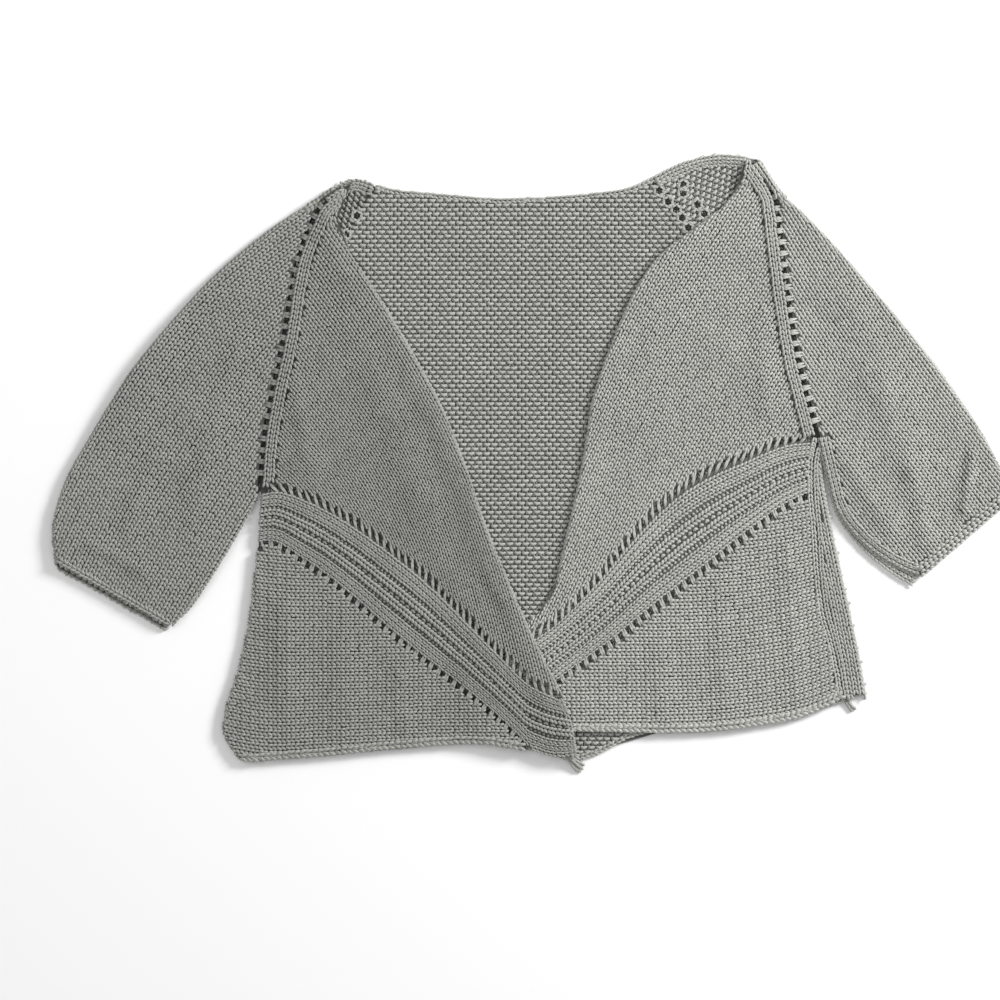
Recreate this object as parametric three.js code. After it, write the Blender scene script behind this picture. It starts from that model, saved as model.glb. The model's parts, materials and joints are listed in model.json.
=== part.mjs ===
// A knitted shrug laid flat on its back: millimetres, +Z up, underside on z = 0, +Y towards the neck.
// The wearer's right is at -X and the wearer's left is at +X.
import * as THREE from "three";

// ---- driving sizes ----------------------------------------------------------------------------
const CLOTH = 3; // wall of the knitted cloth
const SEAM_GAP = 0.3; // between the edges of two joined pieces
const LAYER_GAP = 0.4; // between two layers that lie on each other
const BACK_MID = CLOTH / 2; // middle of the cloth of the lowest layer
const LAYER_STEP = CLOTH + LAYER_GAP;
const FRONT_MID = BACK_MID + LAYER_STEP; // middle of the cloth of the layer above it
const EDGE_RADIUS = LAYER_STEP / 2; // middle of the cloth where it turns at a side or under the arm
const FOLD_RADIUS = 2.6; // the same at the rounder fold along the top of the arm
const FOLD_BLEND = 25; // width over which the sleeve settles from that fold to its lying height
const CURL_START = 16; // length over which an edge takes up its turn below the armpit
const TAIL_RADIUS = 1.6;

const COLOURS = { right: 0x83837e, left: 0x9a9a95, back: 0x888884 };

// ---- sections of the two sleeves ----------------------------------------------------------------
// A row for each section, from the neck to the cuff. Columns: the outer fold along the arm, the seam on
// the front, the seam on the back, each as x, y, and how far the under layer bows towards the neck.
// From the armpit on, both seams are the underarm seam.
const RIGHT_ARMPIT = 9;
const rightSleeve = [
  [-156, 222, -149, 220, -124, 224, 5],
  [-169, 212.5, -166, 208, -138.4, 199.2, 1],
  [-184, 203.5, -174.4, 192, -147.2, 184, 0],
  [-206, 189, -183.5, 171, -156, 162, 0],
  [-231, 169.5, -189.5, 146, -167, 134, 0],
  [-255, 148, -193.8, 118, -178, 104, 0],
  [-281, 120, -199.5, 87, -189, 74, 0],
  [-304, 93, -206, 58, -200, 46, 0],
  [-319, 74, -212.5, 20, -209, 15, 0],
  [-332, 54, -215.8, -20, -215.8, -20, 0],
  [-352, 21, -231.2, -52, -231.2, -52, 0],
  [-369, -9, -250.4, -84, -250.4, -84, 0],
  [-381, -47, -273.6, -116, -273.6, -116, 0],
  [-379, -83, -291.2, -133, -291.2, -133, 0],
];
const LEFT_ARMPIT = 9;
const leftSleeve = [
  [183, 243.5, 178.5, 241, 98, 230, 10],
  [199, 219, 194.5, 216, 120, 206, 3],
  [215, 204, 197.4, 202, 131, 193, 0],
  [233, 186, 199.4, 184, 143, 178, 0],
  [252, 165.5, 202, 163, 156, 160, 0],
  [271, 143.5, 205, 140, 170, 140, 0],
  [289, 122.5, 208.8, 114, 184, 116, 0],
  [305, 103.5, 213.5, 86, 198, 88, 0],
  [317, 88.5, 221, 56, 213, 56, 0],
  [329, 73, 230, 22, 230, 22, 0],
  [345, 50, 237.5, -10, 237.5, -10, 0],
  [360, 27, 246, -38, 245, -39, 0],
  [372, 5, 265, -62, 263, -64, 0],
  [380, -14, 290, -80, 286, -84, 0],
  [381.5, -31, 313, -90, 305, -96, 0],
];

// ---- edges and seams of the body, as x, y -------------------------------------------------------
const backNeck = [
  [-124, 224], [-114, 221.5], [-100, 219.2], [-64, 216], [-24, 213], [16, 214.5], [56, 218],
  [80, 222], [98, 230],
];
const backHem = [
  [-232, -236.5], [-160, -231], [-104, -225.4], [-40, -221.5], [-3, -227], [33, -235.5],
  [50, -232.5], [88, -215.2], [176, -205.6], [240, -192], [262, -184],
];
const rightSide = [
  [-215.8, -20], [-217.6, -52], [-221, -92], [-226.4, -132], [-234, -165], [-243, -192],
  [-245, -214], [-232, -236.5],
];
const leftSide = [
  [230, 22], [232.5, 6], [233.5, -10], [237.5, -34], [244.5, -68], [255, -116], [262, -150],
  [268, -184],
];

const rightNeck = [
  [-142.4, 227], [-149.6, 212], [-154.4, 200], [-155, 193], [-145.6, 172], [-112, 120],
  [-73.6, 52], [-52, 0], [-36.8, -45], [-11.2, -108], [4, -141.6], [26, -185],
];
const rightPoint = [[26, -185], [34, -208], [37.5, -232]];
const rightBandTop = [
  [-215.8, -20], [-202.4, -17.6], [-181.6, -23.2], [-152, -37.6], [-115.2, -62.4],
  [-80.8, -90.4], [-53.6, -118.4], [-28, -144.8], [-2.4, -169.6], [26, -185],
];
const rightBandFoot = [
  [-218.5, -64], [-204, -63], [-182.4, -76.5], [-163.2, -89.6], [-140.8, -108], [-112, -133.6],
  [-84, -156.8], [-55.2, -178.4], [-28.8, -200], [-10.4, -216.8], [0, -227.5],
];
const rightBandEnd = [[0, -227.5], [18, -233], [37.5, -232]];
const rightHem = [
  [-232, -236.5], [-216, -236], [-160, -231.6], [-104, -226], [-40, -222.4], [-6, -227.5],
];

const leftNeck = [
  [172.5, 244.5], [170.4, 229.6], [158.4, 210.4], [136, 191.2], [104, 167.2], [84, 138.4],
  [65.6, 96.8], [50.4, 52], [44, 12], [36, -28], [27, -66.4], [19.5, -98], [9, -116], [-4, -127],
  [-20, -147],
];
const leftBandTop = [
  [-20, -147], [4, -134.4], [18.4, -125], [37.6, -107.2], [56.8, -86.4], [77.6, -60],
  [96.8, -38.4], [114.4, -21.6], [136, -7.2], [170.4, 7.2], [205, 20], [230, 22],
];
const leftBandFoot = [
  [-22, -202], [0, -190], [27.2, -169.6], [64, -143.2], [97.6, -116], [139.2, -84],
  [169.6, -58.4], [201.6, -34.5], [226, -22],
];
const leftPoint = [[-20, -147], [-28, -175], [-22, -202]];
const leftSeamUpper = [[230, 22], [226, 2], [226, -22]];
const leftSeamLower = [
  [226, -22], [229, -56], [231.2, -88], [235.2, -118.4], [242, -143], [247, -166], [250.5, -186],
];
const leftHem = [
  [-16, -210], [24, -212], [70, -213], [110, -213.4], [142, -212.4], [174, -208.8], [216, -201],
  [250.5, -186],
];

// Where the left front's point lies hidden under the right front, which rises over it.
const covered = [[-6, -118], [-22, -138], [-31, -175], [-25, -204], [-16, -213], [70, -216], [70, -100]];
const COVER_EDGE = 11;
const COVER_FALL = 34;

// Soft ridges of the upper layer. Columns: from x, y, to x, y, half width, height.
const ridges = [
  [-186, -100, -196, -172, 11, 1.6],
  [-232, 0, -286, 52, 15, 1.8],
  [-250, -62, -330, -28, 13, 1.2],
  [-196, 6, -150, 74, 14, 1.4],
  [-206, 120, -250, 104, 14, 1.2],
  [-74, -74, -40, -112, 10, 1.0],
  [240, 10, 300, 62, 14, 1.8],
  [272, -48, 345, 6, 13, 1.3],
  [212, 40, 150, 96, 15, 1.4],
  [222, -70, 180, -150, 14, 1.3],
  [226, 150, 250, 132, 13, 1.1],
];
const NECK_ROLL = { height: 2.4, inset: 7, width: 9 };
const ROLL_FADE = [-112, -80]; // the left front's roll ends between these y, before the covered point

// ---- small helpers --------------------------------------------------------------------------------
const v2 = (p) => new THREE.Vector2(p[0], p[1]);
const place = (p) => new THREE.Vector3(p[0], p[1], 0);
const spline = (points) => new THREE.CatmullRomCurve3(points.map(place), false, "centripetal");
const flat = (p) => new THREE.Vector2(p.x, p.y);
const evenly = (points, steps) => spline(points).getSpacedPoints(steps).map(flat);
const smooth = (low, high, value) => THREE.MathUtils.smoothstep(value, low, high);
const perpendicular = (v) => new THREE.Vector2(-v.y, v.x);

function distanceToPath(p, path) {
  let best = Infinity;
  for (let i = 0; i + 1 < path.length; i += 1) {
    const along = path[i + 1].clone().sub(path[i]);
    const share = THREE.MathUtils.clamp(p.clone().sub(path[i]).dot(along) / along.lengthSq(), 0, 1);
    best = Math.min(best, p.distanceTo(path[i].clone().addScaledVector(along, share)));
  }
  return best;
}

function inside(p, ring) {
  let odd = false;
  for (let i = 0, j = ring.length - 1; i < ring.length; j = i, i += 1) {
    const [a, b] = [ring[i], ring[j]];
    if (a.y > p.y !== b.y > p.y && p.x < ((b.x - a.x) * (p.y - a.y)) / (b.y - a.y) + a.x) {
      odd = !odd;
    }
  }
  return odd;
}

// ---- heights of the layers --------------------------------------------------------------------------
const ridgeLines = ridges.map(([x0, y0, x1, y1, width, height]) => {
  const path = [v2([x0, y0]), v2([x1, y1])];
  return { path, width, height };
});
const coveredRing = covered.map(v2);
const NECK_STEPS = 40; // along a front's neck edge, where distances to it are measured
const POINT_STEPS = 6;
const rightNeckPath = [...evenly(rightNeck, NECK_STEPS), ...evenly(rightPoint, POINT_STEPS).slice(1)];
const leftNeckPath = evenly(leftNeck, NECK_STEPS);

const bell = (distance, width) => Math.exp(-((distance / width) ** 2));
const ridgeAt = (p, ridge) => ridge.height * bell(distanceToPath(p, ridge.path), ridge.width);
const ridgeHeight = (p) => ridgeLines.reduce((sum, ridge) => sum + ridgeAt(p, ridge), 0);
const roll = (p, path) => NECK_ROLL.height * bell(distanceToPath(p, path) - NECK_ROLL.inset, NECK_ROLL.width);

const upperMid = (p) => FRONT_MID + ridgeHeight(p);

function overCovered(p) {
  const away = inside(p, coveredRing) ? 0 : distanceToPath(p, [...coveredRing, coveredRing[0]]);
  return LAYER_STEP * (1 - smooth(COVER_EDGE, COVER_FALL, away));
}
const rightFrontMid = (p) => upperMid(p) + roll(p, rightNeckPath) + overCovered(p);
const leftFrontMid = (p) => upperMid(p) + roll(p, leftNeckPath) * smooth(...ROLL_FADE, p.y);

// ---- patches: rows of points between four edges -------------------------------------------------------
// top and foot run the same way and have as many points as each other, and so do left and right, downwards.
function patch(top, foot, left, right) {
  const columns = top.length - 1;
  const count = left.length - 1;
  return left.map((start, i) => {
    const v = i / count;
    return top.map((head, j) => {
      const u = j / columns;
      const point = head.clone().multiplyScalar(1 - v).addScaledVector(foot[j], v);
      point.addScaledVector(start, 1 - u);
      point.addScaledVector(right[i], u);
      point.addScaledVector(top[0], -(1 - u) * (1 - v));
      point.addScaledVector(top[columns], -u * (1 - v));
      point.addScaledVector(foot[0], -(1 - u) * v);
      return point.addScaledVector(foot[columns], -u * v);
    });
  });
}

// Draws a patch's edges in by half a seam's gap.
function drawIn(rows) {
  const [count, columns] = [rows.length - 1, rows[0].length - 1];
  const within = (value, top) => THREE.MathUtils.clamp(value, 1, top - 1);
  const moved = rows.map((row) => row.map((p) => p.clone()));
  const push = (i, j, before, after) => {
    const side = perpendicular(after.clone().sub(before)).normalize();
    const inward = rows[within(i, count)][within(j, columns)].clone().sub(rows[i][j]);
    moved[i][j].addScaledVector(side, (SEAM_GAP / 2) * Math.sign(side.dot(inward) || 1));
  };
  for (let j = 0; j <= columns; j += 1) {
    const [a, b] = [Math.max(j - 1, 0), Math.min(j + 1, columns)];
    push(0, j, rows[0][a], rows[0][b]);
    push(count, j, rows[count][a], rows[count][b]);
  }
  for (let i = 0; i <= count; i += 1) {
    const [a, b] = [Math.max(i - 1, 0), Math.min(i + 1, count)];
    push(i, 0, rows[a][0], rows[b][0]);
    push(i, columns, rows[a][columns], rows[b][columns]);
  }
  return moved;
}

// ---- cloth nodes: a place on the middle of the wall and the way out of it ------------------------------
const UP = new THREE.Vector3(0, 0, 1);
const NEARLY_FULL = 0.95; // of a turn, from which it counts as finished
const lying = (p, z) => ({ at: new THREE.Vector3(p.x, p.y, z), out: UP.clone() });

// Carries a lying sheet on to its edge: a turn through the given angle about an axis along the edge, then a
// straight strip. Where it turns through less than the full angle, the rest of its length stays flat, and the
// cloth's outer face always reaches the edge. lift is +1 where the cloth turns upwards, -1 where it turns down.
// A finished quarter turn ends square, so that it meets its neighbour's end all over.
function turned(edge, outward, z, { angle, full, radius, steps, lift, strip = 0, stripSteps = 0 }) {
  const flatLength = radius * (full - angle);
  const curlReach = (radius + CLOTH / 2) * Math.sin(Math.min(angle, Math.PI / 2));
  const reach = curlReach + strip * Math.max(Math.cos(angle), 0);
  const finished = !stripSteps && angle > NEARLY_FULL * full;
  const start = edge.clone().addScaledVector(outward, -flatLength - reach);
  const nodes = [];
  const place = (along, beyond) => {
    const phi = Math.max(along - flatLength, 0) / radius;
    const across = Math.min(along, flatLength) + radius * Math.sin(phi) + beyond * Math.cos(phi);
    const rise = radius * (1 - Math.cos(phi)) + beyond * Math.sin(phi);
    const p = start.clone().addScaledVector(outward, across);
    const lean = finished && along === radius * full ? Math.PI / 2 : phi;
    const aside = outward.clone().multiplyScalar(-Math.sin(lean));
    const out = new THREE.Vector3(aside.x, aside.y, lift * Math.cos(lean)).multiplyScalar(lift);
    nodes.push({ at: new THREE.Vector3(p.x, p.y, z + lift * rise), out });
  };
  for (let k = 0; k <= steps; k += 1) {
    place((radius * full * k) / steps, 0);
  }
  for (let k = 1; k <= stripSteps; k += 1) {
    place(radius * full, (strip * k) / stripSteps);
  }
  return nodes;
}

// The way out of the cloth at the edge of row i, at right angles to the edge.
function outwardAt(rows, i, edge, next) {
  const [a, b] = [Math.max(i - 1, 0), Math.min(i + 1, rows.length - 1)];
  const side = perpendicular(rows[b][edge].clone().sub(rows[a][edge])).normalize();
  return side.multiplyScalar(Math.sign(side.dot(rows[i][edge].clone().sub(rows[i][next]))) || 1);
}

// A closed wall from rows of nodes, half its thickness to each side of them.
function wall(rows) {
  const [count, columns] = [rows.length, rows[0].length];
  const positions = [];
  for (const side of [CLOTH / 2, -CLOTH / 2]) {
    for (const node of rows.flat()) {
      positions.push(...node.at.clone().addScaledVector(node.out, side).toArray());
    }
  }
  const index = (i, j, under) => under * count * columns + i * columns + j;
  const last = columns - 1;
  const end = count - 1;
  const faces = [];
  const quad = (a, b, c, d) => faces.push(a, b, c, a, c, d);
  for (let i = 0; i + 1 < count; i += 1) {
    for (let j = 0; j + 1 < columns; j += 1) {
      quad(index(i, j, 0), index(i + 1, j, 0), index(i + 1, j + 1, 0), index(i, j + 1, 0));
      quad(index(i, j, 1), index(i, j + 1, 1), index(i + 1, j + 1, 1), index(i + 1, j, 1));
    }
  }
  for (let i = 0; i + 1 < count; i += 1) {
    quad(index(i, 0, 1), index(i + 1, 0, 1), index(i + 1, 0, 0), index(i, 0, 0));
    quad(index(i, last, 0), index(i + 1, last, 0), index(i + 1, last, 1), index(i, last, 1));
  }
  for (let j = 0; j + 1 < columns; j += 1) {
    quad(index(0, j, 0), index(0, j + 1, 0), index(0, j + 1, 1), index(0, j, 1));
    quad(index(end, j, 1), index(end, j + 1, 1), index(end, j + 1, 0), index(end, j, 0));
  }
  const geometry = new THREE.BufferGeometry();
  geometry.setAttribute("position", new THREE.Float32BufferAttribute(positions, 3));
  geometry.setIndex(volume(positions, faces) > 0 ? faces : faces.reverse());
  return geometry;
}

function volume(positions, faces) {
  const corner = (k) => new THREE.Vector3(...positions.slice(3 * k, 3 * k + 3));
  let sum = 0;
  for (let f = 0; f < faces.length; f += 3) {
    sum += corner(faces[f]).dot(corner(faces[f + 1]).cross(corner(faces[f + 2])));
  }
  return sum;
}

// ---- sleeves ---------------------------------------------------------------------------------------------
const RAGLAN_ROWS = 12;
const UNDERARM_ROWS = 7;
const ARM_STEPS = 5; // flat cells across each layer
const FOLD_STEPS = 6;
const CURL_STEPS = 3;
const BOW = 6; // its column in a sleeve's table
const QUARTER = Math.PI / 2 - SEAM_GAP / 2 / EDGE_RADIUS;

// Even rows through a sleeve's sections: the fold is one smooth line, the seams turn a corner at the armpit.
function sleeveRows(sections, armpit) {
  const column = (from, to, first) =>
    spline(sections.slice(from, to + 1).map((row) => [row[first], row[first + 1]]));
  const last = sections.length - 1;
  const fold = column(0, last, 0);
  const seams = [2, 4].map((first) => [column(0, armpit, first), column(armpit, last, first)]);
  const rows = [];
  for (let k = 0; k <= RAGLAN_ROWS + UNDERARM_ROWS; k += 1) {
    const below = k > RAGLAN_ROWS;
    const share = below ? (k - RAGLAN_ROWS) / UNDERARM_ROWS : k / RAGLAN_ROWS;
    const section = below ? armpit + share * (last - armpit) : share * armpit;
    const [front, back] = seams.map((pair) => flat(pair[below ? 1 : 0].getPoint(share)));
    const near = Math.min(Math.floor(section), last - 1);
    const bow = THREE.MathUtils.lerp(sections[near][BOW], sections[near + 1][BOW], section - near);
    rows.push({ fold: flat(fold.getPoint(section / last)), front, back, bow, underarm: k - RAGLAN_ROWS });
  }
  return rows;
}

function sleeve(rows) {
  const armpitAt = rows[RAGLAN_ROWS].front;
  return wall(rows.map((row, k) => {
    const inner = row.front.clone().add(row.back).multiplyScalar(0.5);
    const outward = row.fold.clone().sub(inner).normalize();
    const turn = row.fold.clone().addScaledVector(outward, -FOLD_RADIUS - CLOTH / 2);
    const curled = smooth(0, CURL_START, armpitAt.distanceTo(row.front));
    const angle = row.underarm > 0 ? QUARTER * curled : 0;
    const seamSide = (key) => {
      const [a, b] = [rows[Math.max(k - 1, 0)][key], rows[Math.min(k + 1, rows.length - 1)][key]];
      const side = perpendicular(b.clone().sub(a)).normalize();
      return side.multiplyScalar(Math.sign(side.dot(row[key].clone().sub(row.fold))) || 1);
    };
    const [frontSide, backSide] = [seamSide("front"), seamSide("back")];
    const toNeck = new THREE.Vector2(0, 1);
    const drawnIn = (key, side) => row[key].clone().addScaledVector(side, -SEAM_GAP / 2);
    const curl = { angle, full: QUARTER, radius: EDGE_RADIUS, steps: CURL_STEPS };
    const under = turned(drawnIn("back", backSide), backSide, BACK_MID, { ...curl, lift: 1 });
    const frontEdge = drawnIn("front", frontSide);
    const over = turned(frontEdge, frontSide, upperMid(frontEdge), { ...curl, lift: -1 });

    const nodes = under.reverse().map(({ at, out }) => ({ at, out: out.negate() }));
    const underStart = flat(nodes.at(-1).at);
    for (let j = 1; j < ARM_STEPS; j += 1) {
      const share = j / ARM_STEPS;
      const bow = toNeck.clone().multiplyScalar(4 * share * (1 - share) * row.bow);
      const p = underStart.clone().lerp(turn, share).add(bow);
      nodes.push({ at: new THREE.Vector3(p.x, p.y, BACK_MID), out: UP.clone().negate() });
    }
    for (let j = 0; j <= FOLD_STEPS; j += 1) {
      const phi = -Math.PI / 2 + (Math.PI * j) / FOLD_STEPS;
      const out = new THREE.Vector3(outward.x * Math.cos(phi), outward.y * Math.cos(phi), Math.sin(phi));
      const centre = new THREE.Vector3(turn.x, turn.y, BACK_MID + FOLD_RADIUS);
      nodes.push({ at: centre.addScaledVector(out, FOLD_RADIUS), out });
    }
    const overStart = flat(over[0].at);
    const foldTop = BACK_MID + 2 * FOLD_RADIUS;
    for (let j = 1; j < ARM_STEPS; j += 1) {
      const p = turn.clone().lerp(overStart, j / ARM_STEPS);
      const settled = smooth(0, FOLD_BLEND, p.distanceTo(turn));
      nodes.push(lying(p, THREE.MathUtils.lerp(foldTop, upperMid(p), settled)));
    }
    return [...nodes, ...over];
  }));
}

// ---- body panels -------------------------------------------------------------------------------------------
// Angle that an edge has turned through at p, a distance below the armpit that it starts from.
const turnedSoFar = (p, armpit, full) =>
  p.y < armpit.y ? full * smooth(0, CURL_START, armpit.distanceTo(p)) : 0;

function panel(rows, mid, { curl } = {}) {
  const drawn = drawIn(rows);
  return wall(drawn.map((row, i) => {
    const nodes = row.map((p) => lying(p, mid(p)));
    if (!curl) {
      return nodes;
    }
    const side = outwardAt(drawn, i, 0, 1);
    const angle = turnedSoFar(row[0], curl.armpit, QUARTER);
    const over = turned(row[0], side, mid(row[0]), { ...curl, angle, full: QUARTER, steps: CURL_STEPS });
    return [...over.reverse(), ...nodes.slice(1)];
  }));
}

const TURN_ROWS = 5; // close rows below the armpit, where the sides take up their turn
const SIDE_ROWS = 8; // even rows below those
const BACK_COLUMNS = 10;
const WRAP_STEPS = 5;
const STRIP_STEPS = 2;
const SHORTEST_STRIP = 0.5;
const STRIP_GAP = 1.5 * SEAM_GAP; // between the back's strip and the left front, across the seam
const SEAM_STEPS = 24; // along the seam that the strip reaches, where distances to it are measured

// The points of the back's rows down a side, without the armpit itself.
function downSide(points) {
  const path = spline(points);
  const turnShare = CURL_START / path.getLength();
  const close = Array.from({ length: TURN_ROWS }, (_, k) => (turnShare * (k + 1)) / TURN_ROWS);
  const evenRow = (_, k) => turnShare + ((1 - turnShare) * (k + 1)) / SIDE_ROWS;
  return [...close, ...Array.from({ length: SIDE_ROWS }, evenRow)].map((share) => flat(path.getPointAt(share)));
}

// The back: a quarter turn up at the wearer's right side, and at the left side a half turn and a strip that
// reaches the seam with the left front.
function back(rightRaglan, leftRaglan) {
  const left = [...rightRaglan, ...downSide(rightSide)];
  const right = [...leftRaglan, ...downSide(leftSide)];
  const rows = drawIn(patch(evenly(backNeck, BACK_COLUMNS), evenly(backHem, BACK_COLUMNS), left, right));
  const seam = [...evenly(leftSeamUpper, SEAM_STEPS), ...evenly(leftSeamLower, SEAM_STEPS).slice(1)];
  const last = rows[0].length - 1;
  return wall(rows.map((row, i) => {
    const nodes = row.map((p) => lying(p, BACK_MID));
    const near = outwardAt(rows, i, 0, 1);
    const far = outwardAt(rows, i, last, last - 1);
    const quarterAngle = turnedSoFar(row[0], rightRaglan.at(-1), QUARTER);
    const quarterTurn = { angle: quarterAngle, full: QUARTER, steps: CURL_STEPS };
    const quarter = turned(row[0], near, BACK_MID, { ...quarterTurn, radius: EDGE_RADIUS, lift: 1 });
    const halfAngle = turnedSoFar(row[last], leftRaglan.at(-1), Math.PI);
    const toSeam = distanceToPath(row[last], seam) - EDGE_RADIUS - CLOTH / 2 - STRIP_GAP;
    const strip = halfAngle > 0 ? Math.max(toSeam, SHORTEST_STRIP) : SHORTEST_STRIP;
    const halfTurn = { angle: halfAngle, full: Math.PI, steps: WRAP_STEPS, strip, stripSteps: STRIP_STEPS };
    const wrap = turned(row[last], far, BACK_MID, { ...halfTurn, radius: EDGE_RADIUS, lift: 1 });
    return [...quarter.reverse(), ...nodes.slice(1, -1), ...wrap];
  }));
}

// ---- the pieces -----------------------------------------------------------------------------------------------
const right = sleeveRows(rightSleeve, RIGHT_ARMPIT);
const left = sleeveRows(leftSleeve, LEFT_ARMPIT);
const raglan = (rows, key) => rows.slice(0, RAGLAN_ROWS + 1).map((row) => row[key]);

const BAND_COLUMNS = 16;
const END_COLUMNS = 3; // of them, along the hem at the right front's point
const BAND_ROWS = 4;
const LOWER_ROWS = 8;

const rightCurl = { radius: EDGE_RADIUS, lift: -1, armpit: v2(rightSide[0]) };
const rightTop = evenly(rightBandTop, BAND_COLUMNS);
const rightFoot = evenly(rightBandFoot, BAND_COLUMNS - END_COLUMNS);
const rightEnd = evenly(rightBandEnd, END_COLUMNS);
const leftTop = evenly(leftBandTop, BAND_COLUMNS);
const leftFoot = evenly(leftBandFoot, BAND_COLUMNS);

// The stretches of the right side beside the band and beside the lower front.
const sidePath = spline(rightSide);
const SIDE_SAMPLES = 200;
const sideShare = (target) => {
  const distances = evenly(rightSide, SIDE_SAMPLES).map((p) => p.distanceTo(target));
  return distances.indexOf(Math.min(...distances)) / SIDE_SAMPLES;
};
const bandShare = sideShare(v2(rightBandFoot[0]));
const sideBetween = (from, to, steps) =>
  Array.from({ length: steps + 1 }, (_, k) => flat(sidePath.getPointAt(from + ((to - from) * k) / steps)));
const sideBand = [...sideBetween(0, bandShare, BAND_ROWS).slice(0, -1), rightFoot[0]];
const sideLower = [rightFoot[0], ...sideBetween(bandShare, 1, LOWER_ROWS).slice(1)];
const straight = (a, b, steps) =>
  Array.from({ length: steps + 1 }, (_, k) => a.clone().lerp(b, k / steps));
const frontSeamTop = (sections) => v2(sections[0].slice(2, 4));

// The four edges of each front panel.
const rightUpper = patch(
  straight(frontSeamTop(rightSleeve), v2(rightNeck[0]), BAND_COLUMNS),
  rightTop,
  raglan(right, "front"),
  evenly(rightNeck, RAGLAN_ROWS),
);
const rightBand = patch(
  rightTop,
  [...rightFoot, ...rightEnd.slice(1)],
  sideBand,
  evenly(rightPoint, BAND_ROWS),
);
const rightLower = patch(
  rightFoot,
  evenly(rightHem, BAND_COLUMNS - END_COLUMNS),
  sideLower,
  straight(rightFoot.at(-1), v2(rightHem.at(-1)), LOWER_ROWS),
);
const leftUpper = patch(
  straight(v2(leftNeck[0]), frontSeamTop(leftSleeve), BAND_COLUMNS),
  leftTop,
  evenly(leftNeck, RAGLAN_ROWS),
  raglan(left, "front"),
);
const leftBand = patch(
  leftTop,
  leftFoot,
  evenly(leftPoint, BAND_ROWS),
  evenly(leftSeamUpper, BAND_ROWS),
);
const leftLower = patch(
  leftFoot,
  evenly(leftHem, BAND_COLUMNS),
  straight(leftFoot[0], v2(leftHem[0]), LOWER_ROWS),
  evenly(leftSeamLower, LOWER_ROWS),
);

const pieces = {
  back: [back(raglan(right, "back"), raglan(left, "back")), COLOURS.back],
  sleeve_right: [sleeve(right), COLOURS.right],
  sleeve_left: [sleeve(left), COLOURS.left],
  front_right_upper: [panel(rightUpper, rightFrontMid), COLOURS.right],
  front_right_band: [panel(rightBand, rightFrontMid, { curl: rightCurl }), COLOURS.right],
  front_right_lower: [panel(rightLower, rightFrontMid, { curl: rightCurl }), COLOURS.right],
  front_left_upper: [panel(leftUpper, leftFrontMid), COLOURS.left],
  front_left_band: [panel(leftBand, leftFrontMid), COLOURS.left],
  front_left_lower: [panel(leftLower, leftFrontMid), COLOURS.left],
};

// ---- yarn ends: short lengths of the same yarn, lying where they come down from the hem -------------------------
const tails = {
  tail_point: [[29.6, -233.4, 7], [34, -240, 3], [40, -246.5, 1.7]],
  tail_side: [[253.2, -189.4, 1.8], [256.4, -192.8, 1.7], [260.5, -196.5, 1.7]],
};
const TAIL_STEPS = 4;
const TAIL_SIDES = 6;

function tail(points) {
  const path = new THREE.CatmullRomCurve3(points.map((p) => new THREE.Vector3(...p)));
  const round = new THREE.Shape().absarc(0, 0, TAIL_RADIUS, 0, 2 * Math.PI);
  const sizes = { steps: TAIL_STEPS, curveSegments: TAIL_SIDES, bevelEnabled: false, extrudePath: path };
  return new THREE.ExtrudeGeometry(round, sizes);
}
for (const [name, points] of Object.entries(tails)) {
  pieces[name] = [tail(points), COLOURS.right];
}

const shrug = new THREE.Group();
for (const [name, [geometry, color]] of Object.entries(pieces)) {
  const yarn = new THREE.MeshStandardMaterial({ color, roughness: 0.95, metalness: 0 });
  const mesh = new THREE.Mesh(geometry, yarn);
  mesh.name = name;
  shrug.add(mesh);
}

export default shrug;
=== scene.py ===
import json
import math

import bmesh
import bpy
import numpy as np
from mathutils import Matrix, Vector
from mathutils.bvhtree import BVHTree

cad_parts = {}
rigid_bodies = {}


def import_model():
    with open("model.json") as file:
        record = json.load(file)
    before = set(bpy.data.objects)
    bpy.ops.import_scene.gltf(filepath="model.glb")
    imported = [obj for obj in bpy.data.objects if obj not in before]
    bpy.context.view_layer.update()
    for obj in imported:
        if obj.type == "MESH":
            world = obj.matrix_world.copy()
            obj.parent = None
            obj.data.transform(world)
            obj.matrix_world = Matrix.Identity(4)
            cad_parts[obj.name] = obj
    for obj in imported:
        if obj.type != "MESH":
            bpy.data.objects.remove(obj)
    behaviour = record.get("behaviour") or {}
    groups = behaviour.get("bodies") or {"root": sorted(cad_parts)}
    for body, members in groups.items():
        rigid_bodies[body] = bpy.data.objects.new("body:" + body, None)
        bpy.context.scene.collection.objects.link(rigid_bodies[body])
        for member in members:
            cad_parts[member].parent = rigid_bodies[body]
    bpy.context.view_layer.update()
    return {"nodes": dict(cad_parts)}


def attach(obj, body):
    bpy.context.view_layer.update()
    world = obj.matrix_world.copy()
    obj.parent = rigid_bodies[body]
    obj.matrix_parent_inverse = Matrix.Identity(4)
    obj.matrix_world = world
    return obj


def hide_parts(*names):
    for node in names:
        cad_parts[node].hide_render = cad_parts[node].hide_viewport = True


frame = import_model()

# A knitted shrug laid flat on its back. Places in the tables are millimetres in the row frame, x to the
# wearer's left and y towards the neck; meshes are in metres.
MM = 0.001
chance = np.random.default_rng(7)
SIDES = ("right", "left")

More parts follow.
